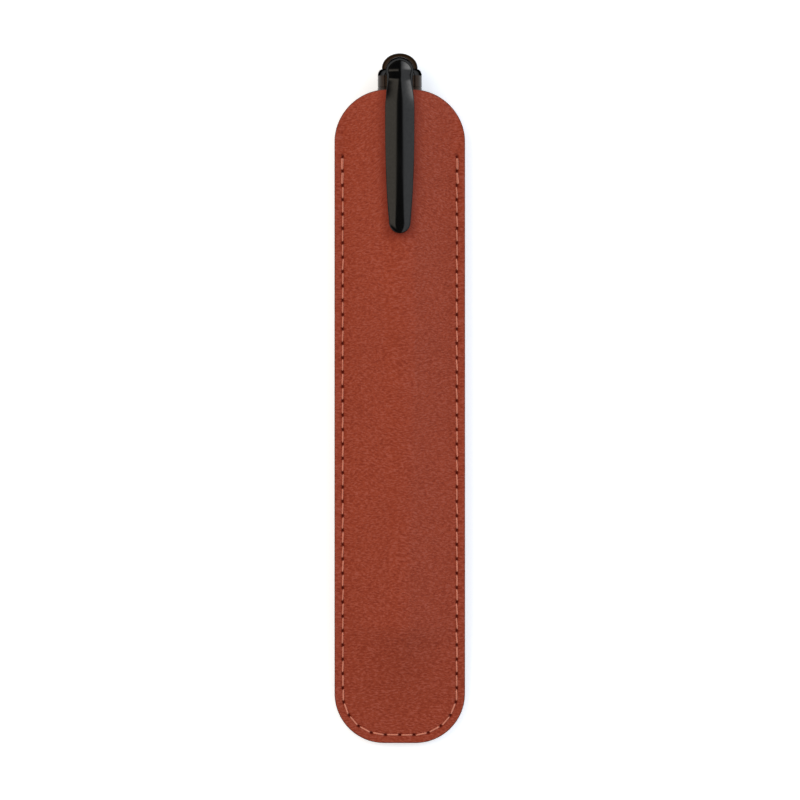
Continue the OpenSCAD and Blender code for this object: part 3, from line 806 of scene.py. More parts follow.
def turned(profile, axis_h, closed=False, sides=96):
    """Points and faces of a profile of (along, radius) turned about the pen's axis.

    An open profile starts and ends on the axis; a closed one goes round a hollow wall."""
    angles = np.arange(sides) * 2 * math.pi / sides
    body = profile if closed else profile[1:-1]
    y, r = np.asarray(body).T
    points = np.stack([np.outer(r, np.sin(angles)), np.repeat(y[:, None], sides, axis=1),
                       axis_h + np.outer(r, np.cos(angles))], axis=-1).reshape(-1, 3)
    rings = np.arange(len(body) * sides).reshape(-1, sides)
    lower, upper = (rings, np.roll(rings, -1, axis=0)) if closed else (rings[:-1], rings[1:])
    quads = np.stack([lower, upper, np.roll(upper, -1, axis=1), np.roll(lower, -1, axis=1)],
                     axis=-1).reshape(-1, 4).tolist()
    if closed:
        return points, quads
    first, last = len(points), len(points) + 1
    points = np.concatenate([points, [[0, profile[0][0], axis_h], [0, profile[-1][0], axis_h]]])
    ring = rings[0]
    quads += [[first, int(ring[k]), int(ring[(k + 1) % sides])] for k in range(sides)]
    ring = rings[-1]
    quads += [[last, int(ring[(k + 1) % sides]), int(ring[k])] for k in range(sides)]
    return points, quads


def turned_object(name, profile, axis_h, material, closed=False, sharp=40):
    points, faces = turned(profile, axis_h, closed)
    return mesh_object(name, points, faces, material, sharp)


def lofted(rings):
    """Points and faces of a skin through closed rings of equally many points, with shut ends."""
    rings = np.asarray(rings)
    m, n, _ = rings.shape
    points = np.concatenate([rings.reshape(-1, 3), [rings[0].mean(axis=0), rings[-1].mean(axis=0)]])
    ids = np.arange(m * n).reshape(m, n)
    after = np.roll(ids, -1, axis=1)
    quads = np.stack([ids[:-1], ids[1:], after[1:], after[:-1]], axis=-1).reshape(-1, 4).tolist()
    quads += [[m * n, int(a), int(b)] for a, b in zip(ids[0], after[0])]
    quads += [[m * n + 1, int(b), int(a)] for a, b in zip(ids[-1], after[-1])]
    return points, quads


def new_tree(name, sockets):
    """A geometry node tree with named inputs; gives its graph and the inputs as values."""
    tree = bpy.data.node_groups.new(name, "GeometryNodeTree")
    tree.interface.new_socket("Geometry", in_out="INPUT", socket_type="NodeSocketGeometry")
    for label, (kind, default) in sockets.items():
        socket = tree.interface.new_socket(label, in_out="INPUT", socket_type=f"NodeSocket{kind}")
        if default is not None:
            socket.default_value = default
        if kind == "Float":
            socket.subtype = "DISTANCE"
    tree.interface.new_socket("Geometry", in_out="OUTPUT", socket_type="NodeSocketGeometry")
    graph = Graph(tree)
    first = graph.add("NodeGroupInput", (), (), out="Geometry")
    return graph, {label: first.out(label) for label in ("Geometry", *sockets)}


def close_tree(graph, geometry, material):
    """Ends a tree in real, painted geometry."""
    real = graph.add("GeometryNodeRealizeInstances", (), {"Geometry": geometry})
    painted = graph.add("GeometryNodeSetMaterial", (), {"Geometry": real, "Material": material})
    graph.add("NodeGroupOutput", (), {"Geometry": painted})


def grown_object(name, base, tree, values, sharp=40):
    """Runs a tree on a base mesh and keeps the result as a plain mesh."""
    obj = placed(name, base)
    modifier = obj.modifiers.new("growth", "NODES")
    modifier.node_group = tree
    for item in tree.interface.items_tree:
        if item.in_out == "INPUT" and item.name in values:
            modifier[item.identifier] = values[item.name]
    evaluated = obj.evaluated_get(bpy.context.evaluated_depsgraph_get())
    mesh = bpy.data.meshes.new_from_object(evaluated)
    obj.modifiers.remove(modifier)
    if len(mesh.polygons) == 0:
        raise RuntimeError(f"{name} came out empty")
    mesh.name = name
    mesh.shade_smooth()
    mesh.set_sharp_from_angle(angle=math.radians(sharp))
    obj.data = mesh
    return obj


def stitch_tree():
    """Lays one twisted stitch on each point, along the point's run."""
    plies, turns, steps = 3, 1.6, 9
    # Shares of the thread's width: a ply's radius, and how far out it lies
    ply_r, ply_out = 0.3, 0.22
    # Where the stitch dives: how far the plies draw together, and how much thinner they get
    drawn_in, thinned = 0.5, 0.35
    # How flat the twist lies, and the chance lean of a stitch in radians
    flat_share, most_lean = 0.8, 0.045
    g, put = new_tree("stitches", {
        "Thread Width": ("Float", 0.00045), "Dive": ("Float", 0.0003), "Wander": ("Float", 0.00005),
        "Seed": ("Int", 0), "Material": ("Material", None)})
    width = put["Thread Width"]
    line = g.add("GeometryNodeCurvePrimitiveLine", (), {"Start": (-0.5, 0, 0), "End": (0.5, 0, 0)})
    line = g.add("GeometryNodeResampleCurve", (), {"Curve": line, "Count": steps})
    share = g.add("GeometryNodeSplineParameter", (), (), out="Factor")
    end = (2 * share - 1) ** 2
    dip = end * end * end
    ring = g.add("GeometryNodeCurvePrimitiveCircle", (), {
        "Resolution": 4, "Radius": width * ply_r})
    join = g.tree.nodes.new("GeometryNodeJoinGeometry")
    for k in range(plies):
        angle = share * (2 * math.pi * turns) + 2 * math.pi * k / plies
        spread = width * ply_out * (1 - drawn_in * dip)
        offset = g.xyz(0.0, spread * g.maths("COSINE", angle),
                       spread * g.maths("SINE", angle) * flat_share - dip * put["Dive"])
        ply = g.add("GeometryNodeSetPosition", (), {"Geometry": line, "Offset": offset})
        ply = g.add("GeometryNodeSetCurveRadius", (), {"Curve": ply, "Radius": 1 - thinned * dip})
        ply = g.add("GeometryNodeCurveToMesh", (), {
            "Curve": ply, "Profile Curve": ring, "Scale": 1 - thinned * dip, "Fill Caps": True})
        g.tree.links.new(ply.socket, join.inputs[0])
    stitch = Value(g, join, 0)

    def draw(low, high, salt):
        return g.add("FunctionNodeRandomValue", {"data_type": "FLOAT"},
                     {2: low, 3: high, "Seed": put["Seed"] + salt}, out=1)

    run = g.add("GeometryNodeInputNamedAttribute", {"data_type": "FLOAT_VECTOR"}, {"Name": "run"})
    run_len = g.add("ShaderNodeVectorMath", {"operation": "LENGTH"}, {0: run}, out="Value")
    turn = g.add("FunctionNodeAxesToRotation", {"primary_axis": "X", "secondary_axis": "Z"},
                 {"Primary Axis": run, "Secondary Axis": (0.0, 0.0, 1.0)})
    thick = draw(0.92, 1.08, 1)
    laid = g.add("GeometryNodeInstanceOnPoints", (), {
        "Points": put["Geometry"], "Instance": stitch, "Rotation": turn,
        "Scale": g.xyz(run_len, thick, thick)})
    aside = g.xyz(0.0, put["Wander"] * draw(-1.0, 1.0, 2), 0.0)
    laid = g.add("GeometryNodeTranslateInstances", (), {"Instances": laid, "Translation": aside})
    lean = g.xyz(0.0, 0.0, draw(-most_lean, most_lean, 3))
    laid = g.add("GeometryNodeRotateInstances", (), {"Instances": laid, "Rotation": lean})
    close_tree(g, laid, put["Material"])
    return g.tree


def barrel_tree():
    """A turned barrel: a domed tail, then a gently crowned taper to its end."""
    g, put = new_tree("barrel", {
        "Tail": ("Float", -0.0478), "End": ("Float", 0.0221), "Axis Height": ("Float", 0.0069),
        "Tail Diameter": ("Float", 0.0076), "End Diameter": ("Float", 0.0102),
        "Dome Height": ("Float", 0.0038), "Crown": ("Float", 0.00008),
        "Material": ("Material", None)})
    # The dome's share of the steps, the chamfer's share of the taper, and the pole's of the tail
    dome_share, ending, pole = 0.3, 0.004, 0.002
    steps, sides = 81, 96
    line = g.add("GeometryNodeCurvePrimitiveLine", (), {"Start": (0, 0, 0), "End": (0, 1, 0)})
    line = g.add("GeometryNodeResampleCurve", (), {"Curve": line, "Count": steps})
    f = g.add("GeometryNodeSplineParameter", (), (), out="Factor")
    angle = g.maths("MINIMUM", f / dome_share, 1.0) * (math.pi / 2)
    t = g.maths("MAXIMUM", (f - dome_share) / (1 - dome_share), 0.0)
    tail_r, end_r = put["Tail Diameter"] / 2, put["End Diameter"] / 2
    start = put["Tail"] + put["Dome Height"]
    along = start - put["Dome Height"] * g.maths("COSINE", angle) + t * (put["End"] - start)
    taper = t * (end_r - tail_r) + put["Crown"] * 2 * t * (1 - t)
    chamfer = g.maths("MAXIMUM", (t - (1 - ending)) / ending, 0.0) * put["Crown"]
    radius = tail_r * g.maths("MAXIMUM", g.maths("SINE", angle), pole) + taper - chamfer
    line = g.add("GeometryNodeSetPosition", (), {
        "Geometry": line, "Position": g.xyz(0.0, along, put["Axis Height"])})
    ring = g.add("GeometryNodeCurvePrimitiveCircle", (), {"Resolution": sides, "Radius": 1.0})
    skin = g.add("GeometryNodeCurveToMesh", (), {
        "Curve": line, "Profile Curve": ring, "Scale": radius, "Fill Caps": True})
    close_tree(g, skin, put["Material"])
    return g.tree


class SleeveOperator:
    """What the piece-making operators share."""

    bl_options = {"REGISTER", "UNDO"}

    @staticmethod
    def workshop(context):
        """The moulding, its seam, and the sizes of sleeve and pen in millimetres."""
        scene = context.scene
        sleeve, seam, pen = (lengths(group) for group in (
            scene.sleeve_sizes, scene.seam_sizes, scene.pen_sizes))
        moulding = Moulding(sleeve, seam, pen)
        return moulding, Seam(moulding, seam), sleeve, pen


class PENSLEEVE_OT_panels(SleeveOperator, bpy.types.Operator):
    """Make the front and back leather with the seam's groove and needle holes"""

    bl_idname = "pen_sleeve.panels"
    bl_label = "Leather Panels"

    def execute(self, context):
        m, seam, sleeve, _ = self.workshop(context)
        plan = Plan(m, seam, fine=True)
        leather = finish_named("grained_leather", leather_finish, context.scene.sleeve_colours)
        front = sheet_object("front_leather", plan, seam, m.front_at(m.lining_t),
                             m.front_at(m.wall), leather, sewn_side=1,
                             edge_r=sleeve.edge_round)
        assign(front, "sleeve", "front_panel")
        back = sheet_object("back_leather", plan, seam, m.back_at(m.wall),
                            m.back_at(m.lining_t), leather, sewn_side=-1,
                            edge_r=sleeve.edge_round)
        assign(back, "sleeve", "back_panel")
        return {"FINISHED"}


class PENSLEEVE_OT_linings(SleeveOperator, bpy.types.Operator):
    """Make the suede linings of front and back"""

    bl_idname = "pen_sleeve.linings"
    bl_label = "Suede Linings"

    EDGE_ROUND = 0.08

    def execute(self, context):
        m, seam, _, _ = self.workshop(context)
        plan = Plan(m, seam, fine=False)
        suede = finish_named("suede_lining", suede_finish, context.scene.sleeve_colours)
        heights = {"front": (m.front_at(0), m.front_at(m.lining_t)),
                   "back": (m.back_at(m.lining_t), m.back_at(0))}
        for side, (low, high) in heights.items():
            lining = sheet_object(f"{side}_suede", plan, seam, low, high, suede,
                                  sewn_side=0, edge_r=self.EDGE_ROUND)
            assign(lining, "sleeve", f"{side}_lining")
        return {"FINISHED"}


class PENSLEEVE_OT_stitches(SleeveOperator, bpy.types.Operator):
    """Sew the seam: needle thread on the front, bobbin thread on the back"""

    bl_idname = "pen_sleeve.stitches"
    bl_label = "Stitches"

    # Share of a needle hole that the thread leaves open, and how far stitches turn inwards
    HOLE_SHARE = 0.75
    SLANT = 0.05
    # How far a stitch sewn twice lies beside and above the first, and how deep a stitch dives
    SECOND_ASIDE = 0.22
    SECOND_UP = 0.1
    DIVE = 0.3
    # How high the thread's middle lies over the groove's floor, in threads
    PROUD = 0.3

    def row(self, name, seam, side):
        """Points at the stitches' middles, with the run of each; the ends are sewn twice."""
        m, size = seam.moulding, seam.size
        lift = side * (m.wall - size.groove_depth + size.thread_d * self.PROUD)
        shape = m.front_at(0) if side > 0 else m.back_at(0)
        numbers = [*range(seam.count), 0, 1, seam.count - 2, seam.count - 1]
        middles, runs = [], []
        for place, k in enumerate(numbers):
            again = place >= seam.count
            ends = [seam.place((k + q) * seam.step - seam.half) for q in (0, 1)]
            a, b = (np.array([*p, float(shape(*p)) + lift]) for p in ends)
            run, outwards = b - a, math.copysign(1, a[0])
            run[:2] += self.SLANT * outwards * np.array([-run[1], run[0]])
            shift = (self.SECOND_ASIDE * outwards, 0, self.SECOND_UP * side) if again else 0
            middles.append((a + b) / 2 + np.array(shift))
            runs.append(run * (1 - self.HOLE_SHARE * size.hole_len / seam.step) * side)
        mesh = bpy.data.meshes.new(name)
        mesh.from_pydata((np.array(middles) * MM).tolist(), [], [])
        layer = mesh.attributes.new("run", "FLOAT_VECTOR", "POINT")
        layer.data.foreach_set("vector", (np.array(runs) * MM).astype(np.float32).ravel())
        return mesh

    def execute(self, context):
        m, seam, _, _ = self.workshop(context)
        thread = finish_named("waxed_thread", thread_finish, context.scene.sleeve_colours)
        tree = stitch_tree()
        for name, side, node in (("needle_stitches", 1, "needle_thread"),
                                 ("bobbin_stitches", -1, "bobbin_thread")):
            base = self.row(name, seam, side)
            stitches = grown_object(name, base, tree, {
                "Thread Width": seam.size.thread_d * MM, "Dive": self.DIVE * MM * side,
                "Wander": seam.size.wander * MM, "Seed": context.scene.seam_sizes.seed + side,
                "Material": thread}, sharp=80)
            assign(stitches, "sleeve", node)
        return {"FINISHED"}


class PENSLEEVE_OT_barrel(SleeveOperator, bpy.types.Operator):
    """Turn the barrel and its metal ring"""

    bl_idname = "pen_sleeve.barrel"
    bl_label = "Barrel"

    def execute(self, context):
        m, _, _, pen = self.workshop(context)
        low, high = span("barrel")
        colours = context.scene.sleeve_colours
        lacquer = finish_named("tube_lacquer", lacquer_finish, colours, TUBE_RIM)
        base = bpy.data.meshes.new("barrel_base")
        barrel = grown_object("turned_barrel", base, barrel_tree(), {
            "Tail": low[1] * MM, "End": high[1] * MM, "Axis Height": m.axis_h * MM,
            "Tail Diameter": pen.tail_d * MM, "End Diameter": (high[0] - low[0]) * MM,
            "Dome Height": pen.tail_dome_h * MM, "Crown": pen.crown * MM, "Material": lacquer})
        assign(barrel, "pen", "barrel")

        low, high = span("barrel_ring")
        r, hole = (high[0] - low[0]) / 2, pen.tenon_d / 2
        trim = finish_named("polished_trim", trim_finish, colours)
        profile = round_corners([(low[1], hole, 0), (low[1], r, 0.12), (high[1], r, 0.2),
                                 (high[1], hole, 0)])
        ring = turned_object("bright_ring", profile, m.axis_h, trim, closed=True)
        assign(ring, "pen", "barrel_ring")
        return {"FINISHED"}


class PENSLEEVE_OT_writing_end(SleeveOperator, bpy.types.Operator):
    """Make the grip, the finned feed and the slit nib"""

    bl_idname = "pen_sleeve.writing_end"
    bl_label = "Grip, Feed and Nib"

    # How far along the grip its waist is, and how much it flares again towards the nib
    WAIST_AT = 0.75
    NIB_FLARE = 0.6
    # Depth of the grip's end face round the feed
    END_DEPTH = 0.8
    # The feed's comb and plain end, as shares of the nib's length
    COMB_LEN = 0.55
    PLAIN_FROM = 0.6
    # A slot's share of a fin's step; as shares of the radius, what is left in a slot and how high
    # over the feed's middle it reaches
    SLOT_SHARE = 0.45
    SLOT_FLOOR = 0.62
    SLOT_REACH = 0.15
    # Play between nib and feed, and half the run of a slot's edge
    PLAY = 0.02
    # The engraved line on the nib: its depth, its place from slit to edge, and its end at the tip
    LINE_DEPTH = 0.04
    LINE_SHARES = (0.83, 0.92)
    LINE_END = 3

    def grip(self, m, pen, material):
        low, high = span("grip_section")
        ring_end = span("barrel_ring")[1][1]
        grip_r, waist_r = (high[0] - low[0]) / 2, pen.grip_waist_d / 2
        waist = np.linspace(0, 1, 33)
        flare = np.where(waist < self.WAIST_AT, 1 - ease(waist / self.WAIST_AT),
                         self.NIB_FLARE * ease((waist - self.WAIST_AT) / (1 - self.WAIST_AT)))
        bore = pen.nib_d / 2
        outer = [(mix(ring_end, high[1], t), mix(waist_r, grip_r, q), 0)
                 for t, q in zip(waist, flare)]
        profile = [(low[1], 0, 0), (low[1], pen.tenon_d / 2, 0.3), (ring_end, pen.tenon_d / 2, 0),
                   (ring_end, outer[0][1], 0.15), *outer[1:-1],
                   (high[1], outer[-1][1], 0.35), (high[1], bore, 0.1),
                   (high[1] - self.END_DEPTH, bore, 0), (high[1] - self.END_DEPTH, 0, 0)]
        return turned_object("waisted_grip", round_corners(profile), m.axis_h, material)

    def cone_r(self, pen, y, root):
        """Radius of the cone that nib and feed share."""
        t = np.clip((y - root) / pen.nib_len, 0, 1)
        return mix(pen.nib_d, pen.nib_tip_d, t) / 2

    def feed(self, m, pen, fins, material):
        """A tapered comb: each fin is a plate under the nib, with a slot before the next."""
        low, high = span("feed")
        root = span("grip_section")[1][1]
        fin_step = self.COMB_LEN * pen.nib_len / fins
        slots = [(root + (k + 1) * fin_step, root + (k + 1 + self.SLOT_SHARE) * fin_step)
                 for k in range(fins)]
        edges = [y + d for slot in slots for y in slot for d in (-self.PLAY, self.PLAY)]
        plain = np.linspace(root + self.PLAIN_FROM * pen.nib_len, high[1], 6)
        places = sorted({low[1], root, *plain, *edges})
        sides = 48
        angles = np.arange(sides) * 2 * math.pi / sides
        rings = []
        for y in places:
            r = float(self.cone_r(pen, y, root)) - pen.nib_t - self.PLAY
            cut = any(a < y < b for a, b in slots)
            under = np.cos(angles) < self.SLOT_REACH
            radii = r * np.where(under & cut, self.SLOT_FLOOR, 1.0)
            rings.append(np.stack([radii * np.sin(angles), np.full(sides, y),
                                   m.axis_h + radii * np.cos(angles)], axis=1))
        points, faces = lofted(rings)
        return mesh_object("ink_feed", points, faces, material, sharp=35)

    def nib(self, m, pen, material):
        """Two tines of one curved sheet, parted by a slit that runs out of a round breather."""
        low, high = span("nib")
        root = span("grip_section")[1][1]
        # Place and radius of the breather, and half the width of the slit
        breather, hole_r, slit = root + 0.4 * pen.nib_len, 0.6, 0.075
        # Where the tines start to draw in, half their width at the point, and the least height of
        # their edges over the axis; up to the shoulder the plan cuts nothing off
        shoulder, point_w, flat_h = root + 0.3 * pen.nib_len, 0.25, 0.4
        uncut_w = pen.nib_d / 2 + 0.05
        hole_ys = breather - hole_r * np.cos(np.linspace(0, math.pi, 15))
        ys = np.unique(np.round(np.concatenate([
            np.linspace(low[1], hole_ys[0], 22), hole_ys,
            np.linspace(hole_ys[-1], high[1], 44)]), 5))
        shares = np.concatenate([[0, 0.12], np.linspace(0.25, 0.8, 8), [0.86, 0.9, 0.94, 1]])
        outside, inside, line = [], [], []
        for y in ys:
            r = float(self.cone_r(pen, y, root))
            plan_w = uncut_w if y < shoulder else mix(
                pen.nib_d / 2, point_w, (y - shoulder) / (high[1] - shoulder))
            widest = min(math.acos(min(0.98, flat_h / r)), math.asin(min(1, plan_w / r)))
            ring = math.sqrt(max(0, hole_r ** 2 - (y - breather) ** 2))
            inner = max(ring, slit if y > breather else 0)
            start = math.asin(min(1, inner / r))
            angles = mix(start, max(widest, start + 0.02), shares)
            here = (shares > self.LINE_SHARES[0]) & (shares < self.LINE_SHARES[1])
            engraved = np.where(here & (y < high[1] - self.LINE_END), 1.0, 0.0)
            for radii, made in ((r - self.LINE_DEPTH * engraved, outside),
                                (np.full(len(shares), r - pen.nib_t), inside)):
                made.append(np.stack([radii * np.sin(angles), np.full(len(shares), y),
                                      m.axis_h + radii * np.cos(angles)], axis=1))
            line.append(engraved)
        rows, columns = len(ys), len(shares)
        half = np.concatenate([np.array(outside).reshape(-1, 3), np.array(inside).reshape(-1, 3)])
        ids = np.arange(rows * columns).reshape(rows, columns)
        top = np.stack([ids[:-1, :-1], ids[:-1, 1:], ids[1:, 1:], ids[1:, :-1]], -1).reshape(-1, 4)
        below = ids + rows * columns

        def wall(a, b):
            return np.stack([a[:-1], a[1:], b[1:], b[:-1]], axis=-1)

        # Behind the breather the two halves meet, so they get no wall there
        split = np.nonzero(ys > hole_ys[0] - 1e-6)[0]
        faces = np.concatenate([
            top[:, ::-1], top + rows * columns,
            wall(ids[:, -1], below[:, -1]), wall(below[split, 0], ids[split, 0]),
            wall(ids[-1, :], below[-1, :])[:, ::-1], wall(ids[0, :], below[0, :])])
        mirrored = half * [-1, 1, 1]
        points = np.concatenate([half, mirrored])
        faces = np.concatenate([faces, faces[:, ::-1] + len(half)])
        nib = mesh_object("steel_nib", points, faces, material, sharp=35)
        strength = np.array(line).ravel()
        set_attribute(nib, "engraved", np.tile(np.concatenate([strength, 0 * strength]), 2))
        turn_outwards(nib.data, sharp=35, reach=0.01)
        return nib

    def execute(self, context):
        m, _, _, pen = self.workshop(context)
        colours = context.scene.sleeve_colours
        resin = finish_named("grip_resin", resin_finish, colours, 0.12, 0.0004)
        matt = finish_named("feed_resin", resin_finish, colours, 0.42, 0.003)
        steel = finish_named("brushed_steel", steel_finish, colours)
        assign(self.grip(m, pen, resin), "pen", "grip_section")
        feed = self.feed(m, pen, context.scene.pen_sizes.fin_count, matt)
        assign(feed, "pen", "feed")
        assign(self.nib(m, pen, steel), "pen", "nib")
        return {"FINISHED"}


class PENSLEEVE_OT_cap(SleeveOperator, bpy.types.Operator):
    """Turn the cap, its lip band and the domed finial"""

    bl_idname = "pen_sleeve.cap"
    bl_label = "Cap"

    # Depth of the rebate that the lip band sits in, and the gap between two pieces
    REBATE = 0.35
    GAP = 0.02
    # The fine line turned round the tube: its place beyond the sleeve's mouth, half its width at
    # the surface and at its floor, and its depth
    LINE_AT = 0.57
    LINE_W = 0.14
    LINE_FLOOR_W = 0.06
    LINE_DEPTH = 0.1

    def execute(self, context):
        m, _, _, pen = self.workshop(context)
        colours = context.scene.sleeve_colours
        lacquer = finish_named("tube_lacquer", lacquer_finish, colours, TUBE_RIM)
        trim = finish_named("polished_trim", trim_finish, colours)
        low, high = span("cap_tube")
        band_low, band_high = span("cap_band")
        lip_r = (band_high[0] - band_low[0]) / 2
        rebate_r = (high[0] - low[0]) / 2 - self.REBATE
        start, end = band_high[1] + self.GAP, high[1]
        top_r = pen.cap_top_d / 2
        taper = [(mix(start, end, t), mix(lip_r, top_r, t) + 2 * pen.crown * t * (1 - t))
                 for t in np.linspace(0, 1, 25)]
        line_y = m.half_len + self.LINE_AT
        line_r = float(np.interp(line_y, *np.array(taper).T))
        floor_r = line_r - self.LINE_DEPTH
        line = [(line_y - self.LINE_W, line_r, 0.04), (line_y - self.LINE_FLOOR_W, floor_r, 0),
                (line_y + self.LINE_FLOOR_W, floor_r, 0), (line_y + self.LINE_W, line_r, 0.04)]
        below = [(y, r, 0) for y, r in taper if y < line_y - 2 * self.LINE_W]
        above = [(y, r, 0) for y, r in taper if y > line_y + 2 * self.LINE_W]
        bore, bore_end = pen.bore_d / 2, end - pen.cap_end_t
        profile = round_corners([
            (low[1], bore, 0.1), (low[1], rebate_r, 0), (start, rebate_r, 0), (start, lip_r, 0.05),
            *below[1:], *line, *above, (end, pen.post_d / 2, 0), (bore_end, pen.post_d / 2, 0),
            (bore_end, bore, 0.4)])
        cap = turned_object("cap_shell", profile, m.axis_h, lacquer, closed=True)
        assign(cap, "cap", "cap_tube")

        profile = round_corners([
            (band_low[1], rebate_r, 0), (band_low[1], lip_r, 0.15), (band_high[1], lip_r, 0.08),
            (band_high[1], rebate_r, 0)])
        band = turned_object("lip_band", profile, m.axis_h, trim, closed=True)
        assign(band, "cap", "cap_band")

        low, high = span("cap_finial")
        r, seat = pen.finial_d / 2, end + pen.collar_h + self.GAP
        rim = high[1] - pen.finial_dome_h
        dome = [(rim + pen.finial_dome_h * math.sin(a), r * math.cos(a), 0)
                for a in np.linspace(0, math.pi / 2, 29)]
        profile = round_corners([
            (low[1], 0, 0), (low[1], pen.post_d / 2, 0.2), (seat, pen.post_d / 2, 0),
            (seat, r, 0.08), *dome])
        dull = finish_named("finial_lacquer", lacquer_finish, colours, FINIAL_RIM)
        finial = turned_object("domed_finial", profile, m.axis_h, dull)
        assign(finial, "cap", "cap_finial")
        return {"FINISHED"}


class PENSLEEVE_OT_clip(SleeveOperator, bpy.types.Operator):
    """Form the clip with its knob and the collar that it grows from"""

    bl_idname = "pen_sleeve.clip"
    bl_label = "Clip"

    # Distances from the top of the knob: the narrowest neck and the arm's full width
    NECK_AT = 5.2
    SHOULDER_AT = 12
    # Length over which the section's widest line sinks from the knob's middle to the arm's side
    SINK_LEN = 7
    # How far the knob stands over the arm, and how far the neck lies under it
    KNOB_RISE = 0.5
    NECK_DIP = 0.12
    # Play over the leather and over the finial, and beyond the mouth before the arm comes down
    PLAY = 0.3
    MOUTH_PLAY = 1
    # Points round the section, and how late the arm's sides draw in towards the tip
    SIDES = 96
    ARM_BOW = 2.8
    # How far the section has gone from an ellipse to a box at the tip: evenly, and by a power
    # that acts near the end
    SQUARE_EVEN = 0.15
    SQUARE_LATE = 0.35
    LATE_POWER = 5
    # Above 1 it cuts the section short, so that its sides stand upright
    UPRIGHT = 1.07
    # How closely the underside follows the hump of the leather, and the length in which it starts
    WRAP = 0.6
    WRAP_LEN = 2
    # How full the underside is at the knob and on the hump
    FULLNESS = (1.3, 2.2)
    # Height over the arm's floor, in arm thicknesses: the widest line, and the tip's end
    SIDE_H = 0.3
    TIP_H = 0.4
    # How flat the top stays before it falls at the tip
    TIP_POWER = 0.25

    def arm(self, m, pen):
        """Rings of the clip's skin, walked down from the top of its knob."""
        low, high = span("clip")
        top_y, length = high[1], high[1] - low[1]
        knob_r, tip_r = pen.knob_d / 2, pen.tip_w / 2
        tip_at = length - tip_r
        arm_floor = m.leather_top + self.PLAY
        arm_top = arm_floor + pen.arm_t
        knob_floor = m.axis_h + pen.finial_d / 2 + self.PLAY
        knob_h = arm_top + self.KNOB_RISE
        collar_top = span("cap_tube")[1][1] + pen.collar_h
        throat_start = top_y - collar_top + self.PLAY
        throat_end = top_y - m.half_len - self.MOUTH_PLAY

        def round_end(d, r):
            """Share of its full size that a round end of radius r has at a distance d."""
            return math.sqrt(max(0, 1 - min(1, max(0, 1 - d / r)) ** 2))

        def half(t):
            """Half the width at a distance t from the top of the knob."""
            neck = ease((t - knob_r) / (self.NECK_AT - knob_r))
            shoulder = ease((t - self.NECK_AT) / (self.SHOULDER_AT - self.NECK_AT))
            if t < knob_r:
                return knob_r * round_end(t, knob_r)
            if t < self.NECK_AT:
                return mix(knob_r, pen.neck_w / 2, neck)
            if t < self.SHOULDER_AT:
                return mix(pen.neck_w, pen.arm_w, shoulder) / 2
            if t < tip_at:
                share = (t - self.SHOULDER_AT) / (tip_at - self.SHOULDER_AT)
                return mix(pen.arm_w, pen.tip_w, share ** self.ARM_BOW) / 2
            return tip_r * round_end(length - t, tip_r)

        def top(t):
            """Height of the upper side there."""
            neck_top = arm_top - self.NECK_DIP
            if t < knob_r:
                return mix((knob_floor + knob_h) / 2, knob_h, round_end(t, knob_r))
            if t < self.NECK_AT:
                return mix(knob_h, neck_top, ease((t - knob_r) / (self.NECK_AT - knob_r)))
            if t < self.SHOULDER_AT:
                rise = ease((t - self.NECK_AT) / (self.SHOULDER_AT - self.NECK_AT))
                return mix(neck_top, arm_top, rise)
            if t < tip_at:
                return arm_top
            share = round_end(length - t, tip_r) ** self.TIP_POWER
            return mix(arm_floor + self.TIP_H * pen.arm_t, arm_top, share)

        def ring(t):
            high_z = top(t)
            throat = ease((t - throat_start) / (throat_end - throat_start))
            floor = mix(knob_floor, arm_floor, throat)
            side_z = mix((knob_floor + high_z) / 2, floor + self.SIDE_H * pen.arm_t,
                         ease((t - knob_r) / self.SINK_LEN))
            wrapped = ease((t - throat_end) / self.WRAP_LEN)
            u = np.arange(self.SIDES) * 2 * math.pi / self.SIDES
            c, s = np.cos(u), np.sin(u)
            share = min(1, max(0, (t - self.NECK_AT) / (tip_at - self.NECK_AT)))
            late = share ** self.LATE_POWER
            crown = 1 - self.SQUARE_EVEN * share - self.SQUARE_LATE * late
            x = half(t) * np.sign(c) * np.minimum(1, self.UPRIGHT * np.abs(c) ** crown)
            leather_r = arm_floor - m.axis_h
            under = floor - self.WRAP * wrapped * (leather_r - np.sqrt(leather_r ** 2 - x * x))
            depth = mix(*self.FULLNESS, wrapped) * -s
            z = np.where(s >= 0, side_z + (high_z - side_z) * s,
                         mix(side_z, under, np.minimum(1, depth)))
            return np.stack([x, np.full(self.SIDES, top_y - t), z], axis=1)

        # The angle of the small flat that shuts each end
        shut = 0.06
        knob = [knob_r * (1 - math.cos(a)) for a in np.linspace(shut, math.pi / 2, 18)]
        tip = [tip_at + tip_r * math.sin(a) for a in np.linspace(0, math.pi / 2 - shut, 16)]
        body = np.concatenate([
            np.linspace(knob_r, self.NECK_AT, 12)[1:-1],
            np.linspace(self.NECK_AT, self.SHOULDER_AT, 20)[:-1],
            np.linspace(self.SHOULDER_AT, tip_at, 24)[:-1]])
        return [ring(t) for t in (*knob, *body, *tip)]

    def execute(self, context):
        m, _, _, pen = self.workshop(context)
        colours = context.scene.sleeve_colours
        gloss = finish_named("clip_gloss", clip_finish, colours)
        arm_points, arm_faces = lofted(self.arm(m, pen))
        base = span("cap_tube")[1][1]
        inner, outer = pen.finial_d / 2, pen.cap_top_d / 2
        shoulder = [(base + pen.collar_h * math.sin(a), mix(inner, outer, math.cos(a)), 0)
                    for a in np.linspace(0, math.pi / 2, 17)]
        profile = round_corners([(base, pen.post_d / 2, 0), *shoulder,
                                 (base + pen.collar_h, pen.post_d / 2, 0)])
        points, faces = turned(profile, m.axis_h, closed=True)
        offset = len(arm_points)
        faces = arm_faces + [[k + offset for k in face] for face in faces]
        clip = mesh_object("sprung_clip", np.concatenate([arm_points, points]), faces, gloss, 32)
        assign(clip, "cap", "clip")
        return {"FINISHED"}


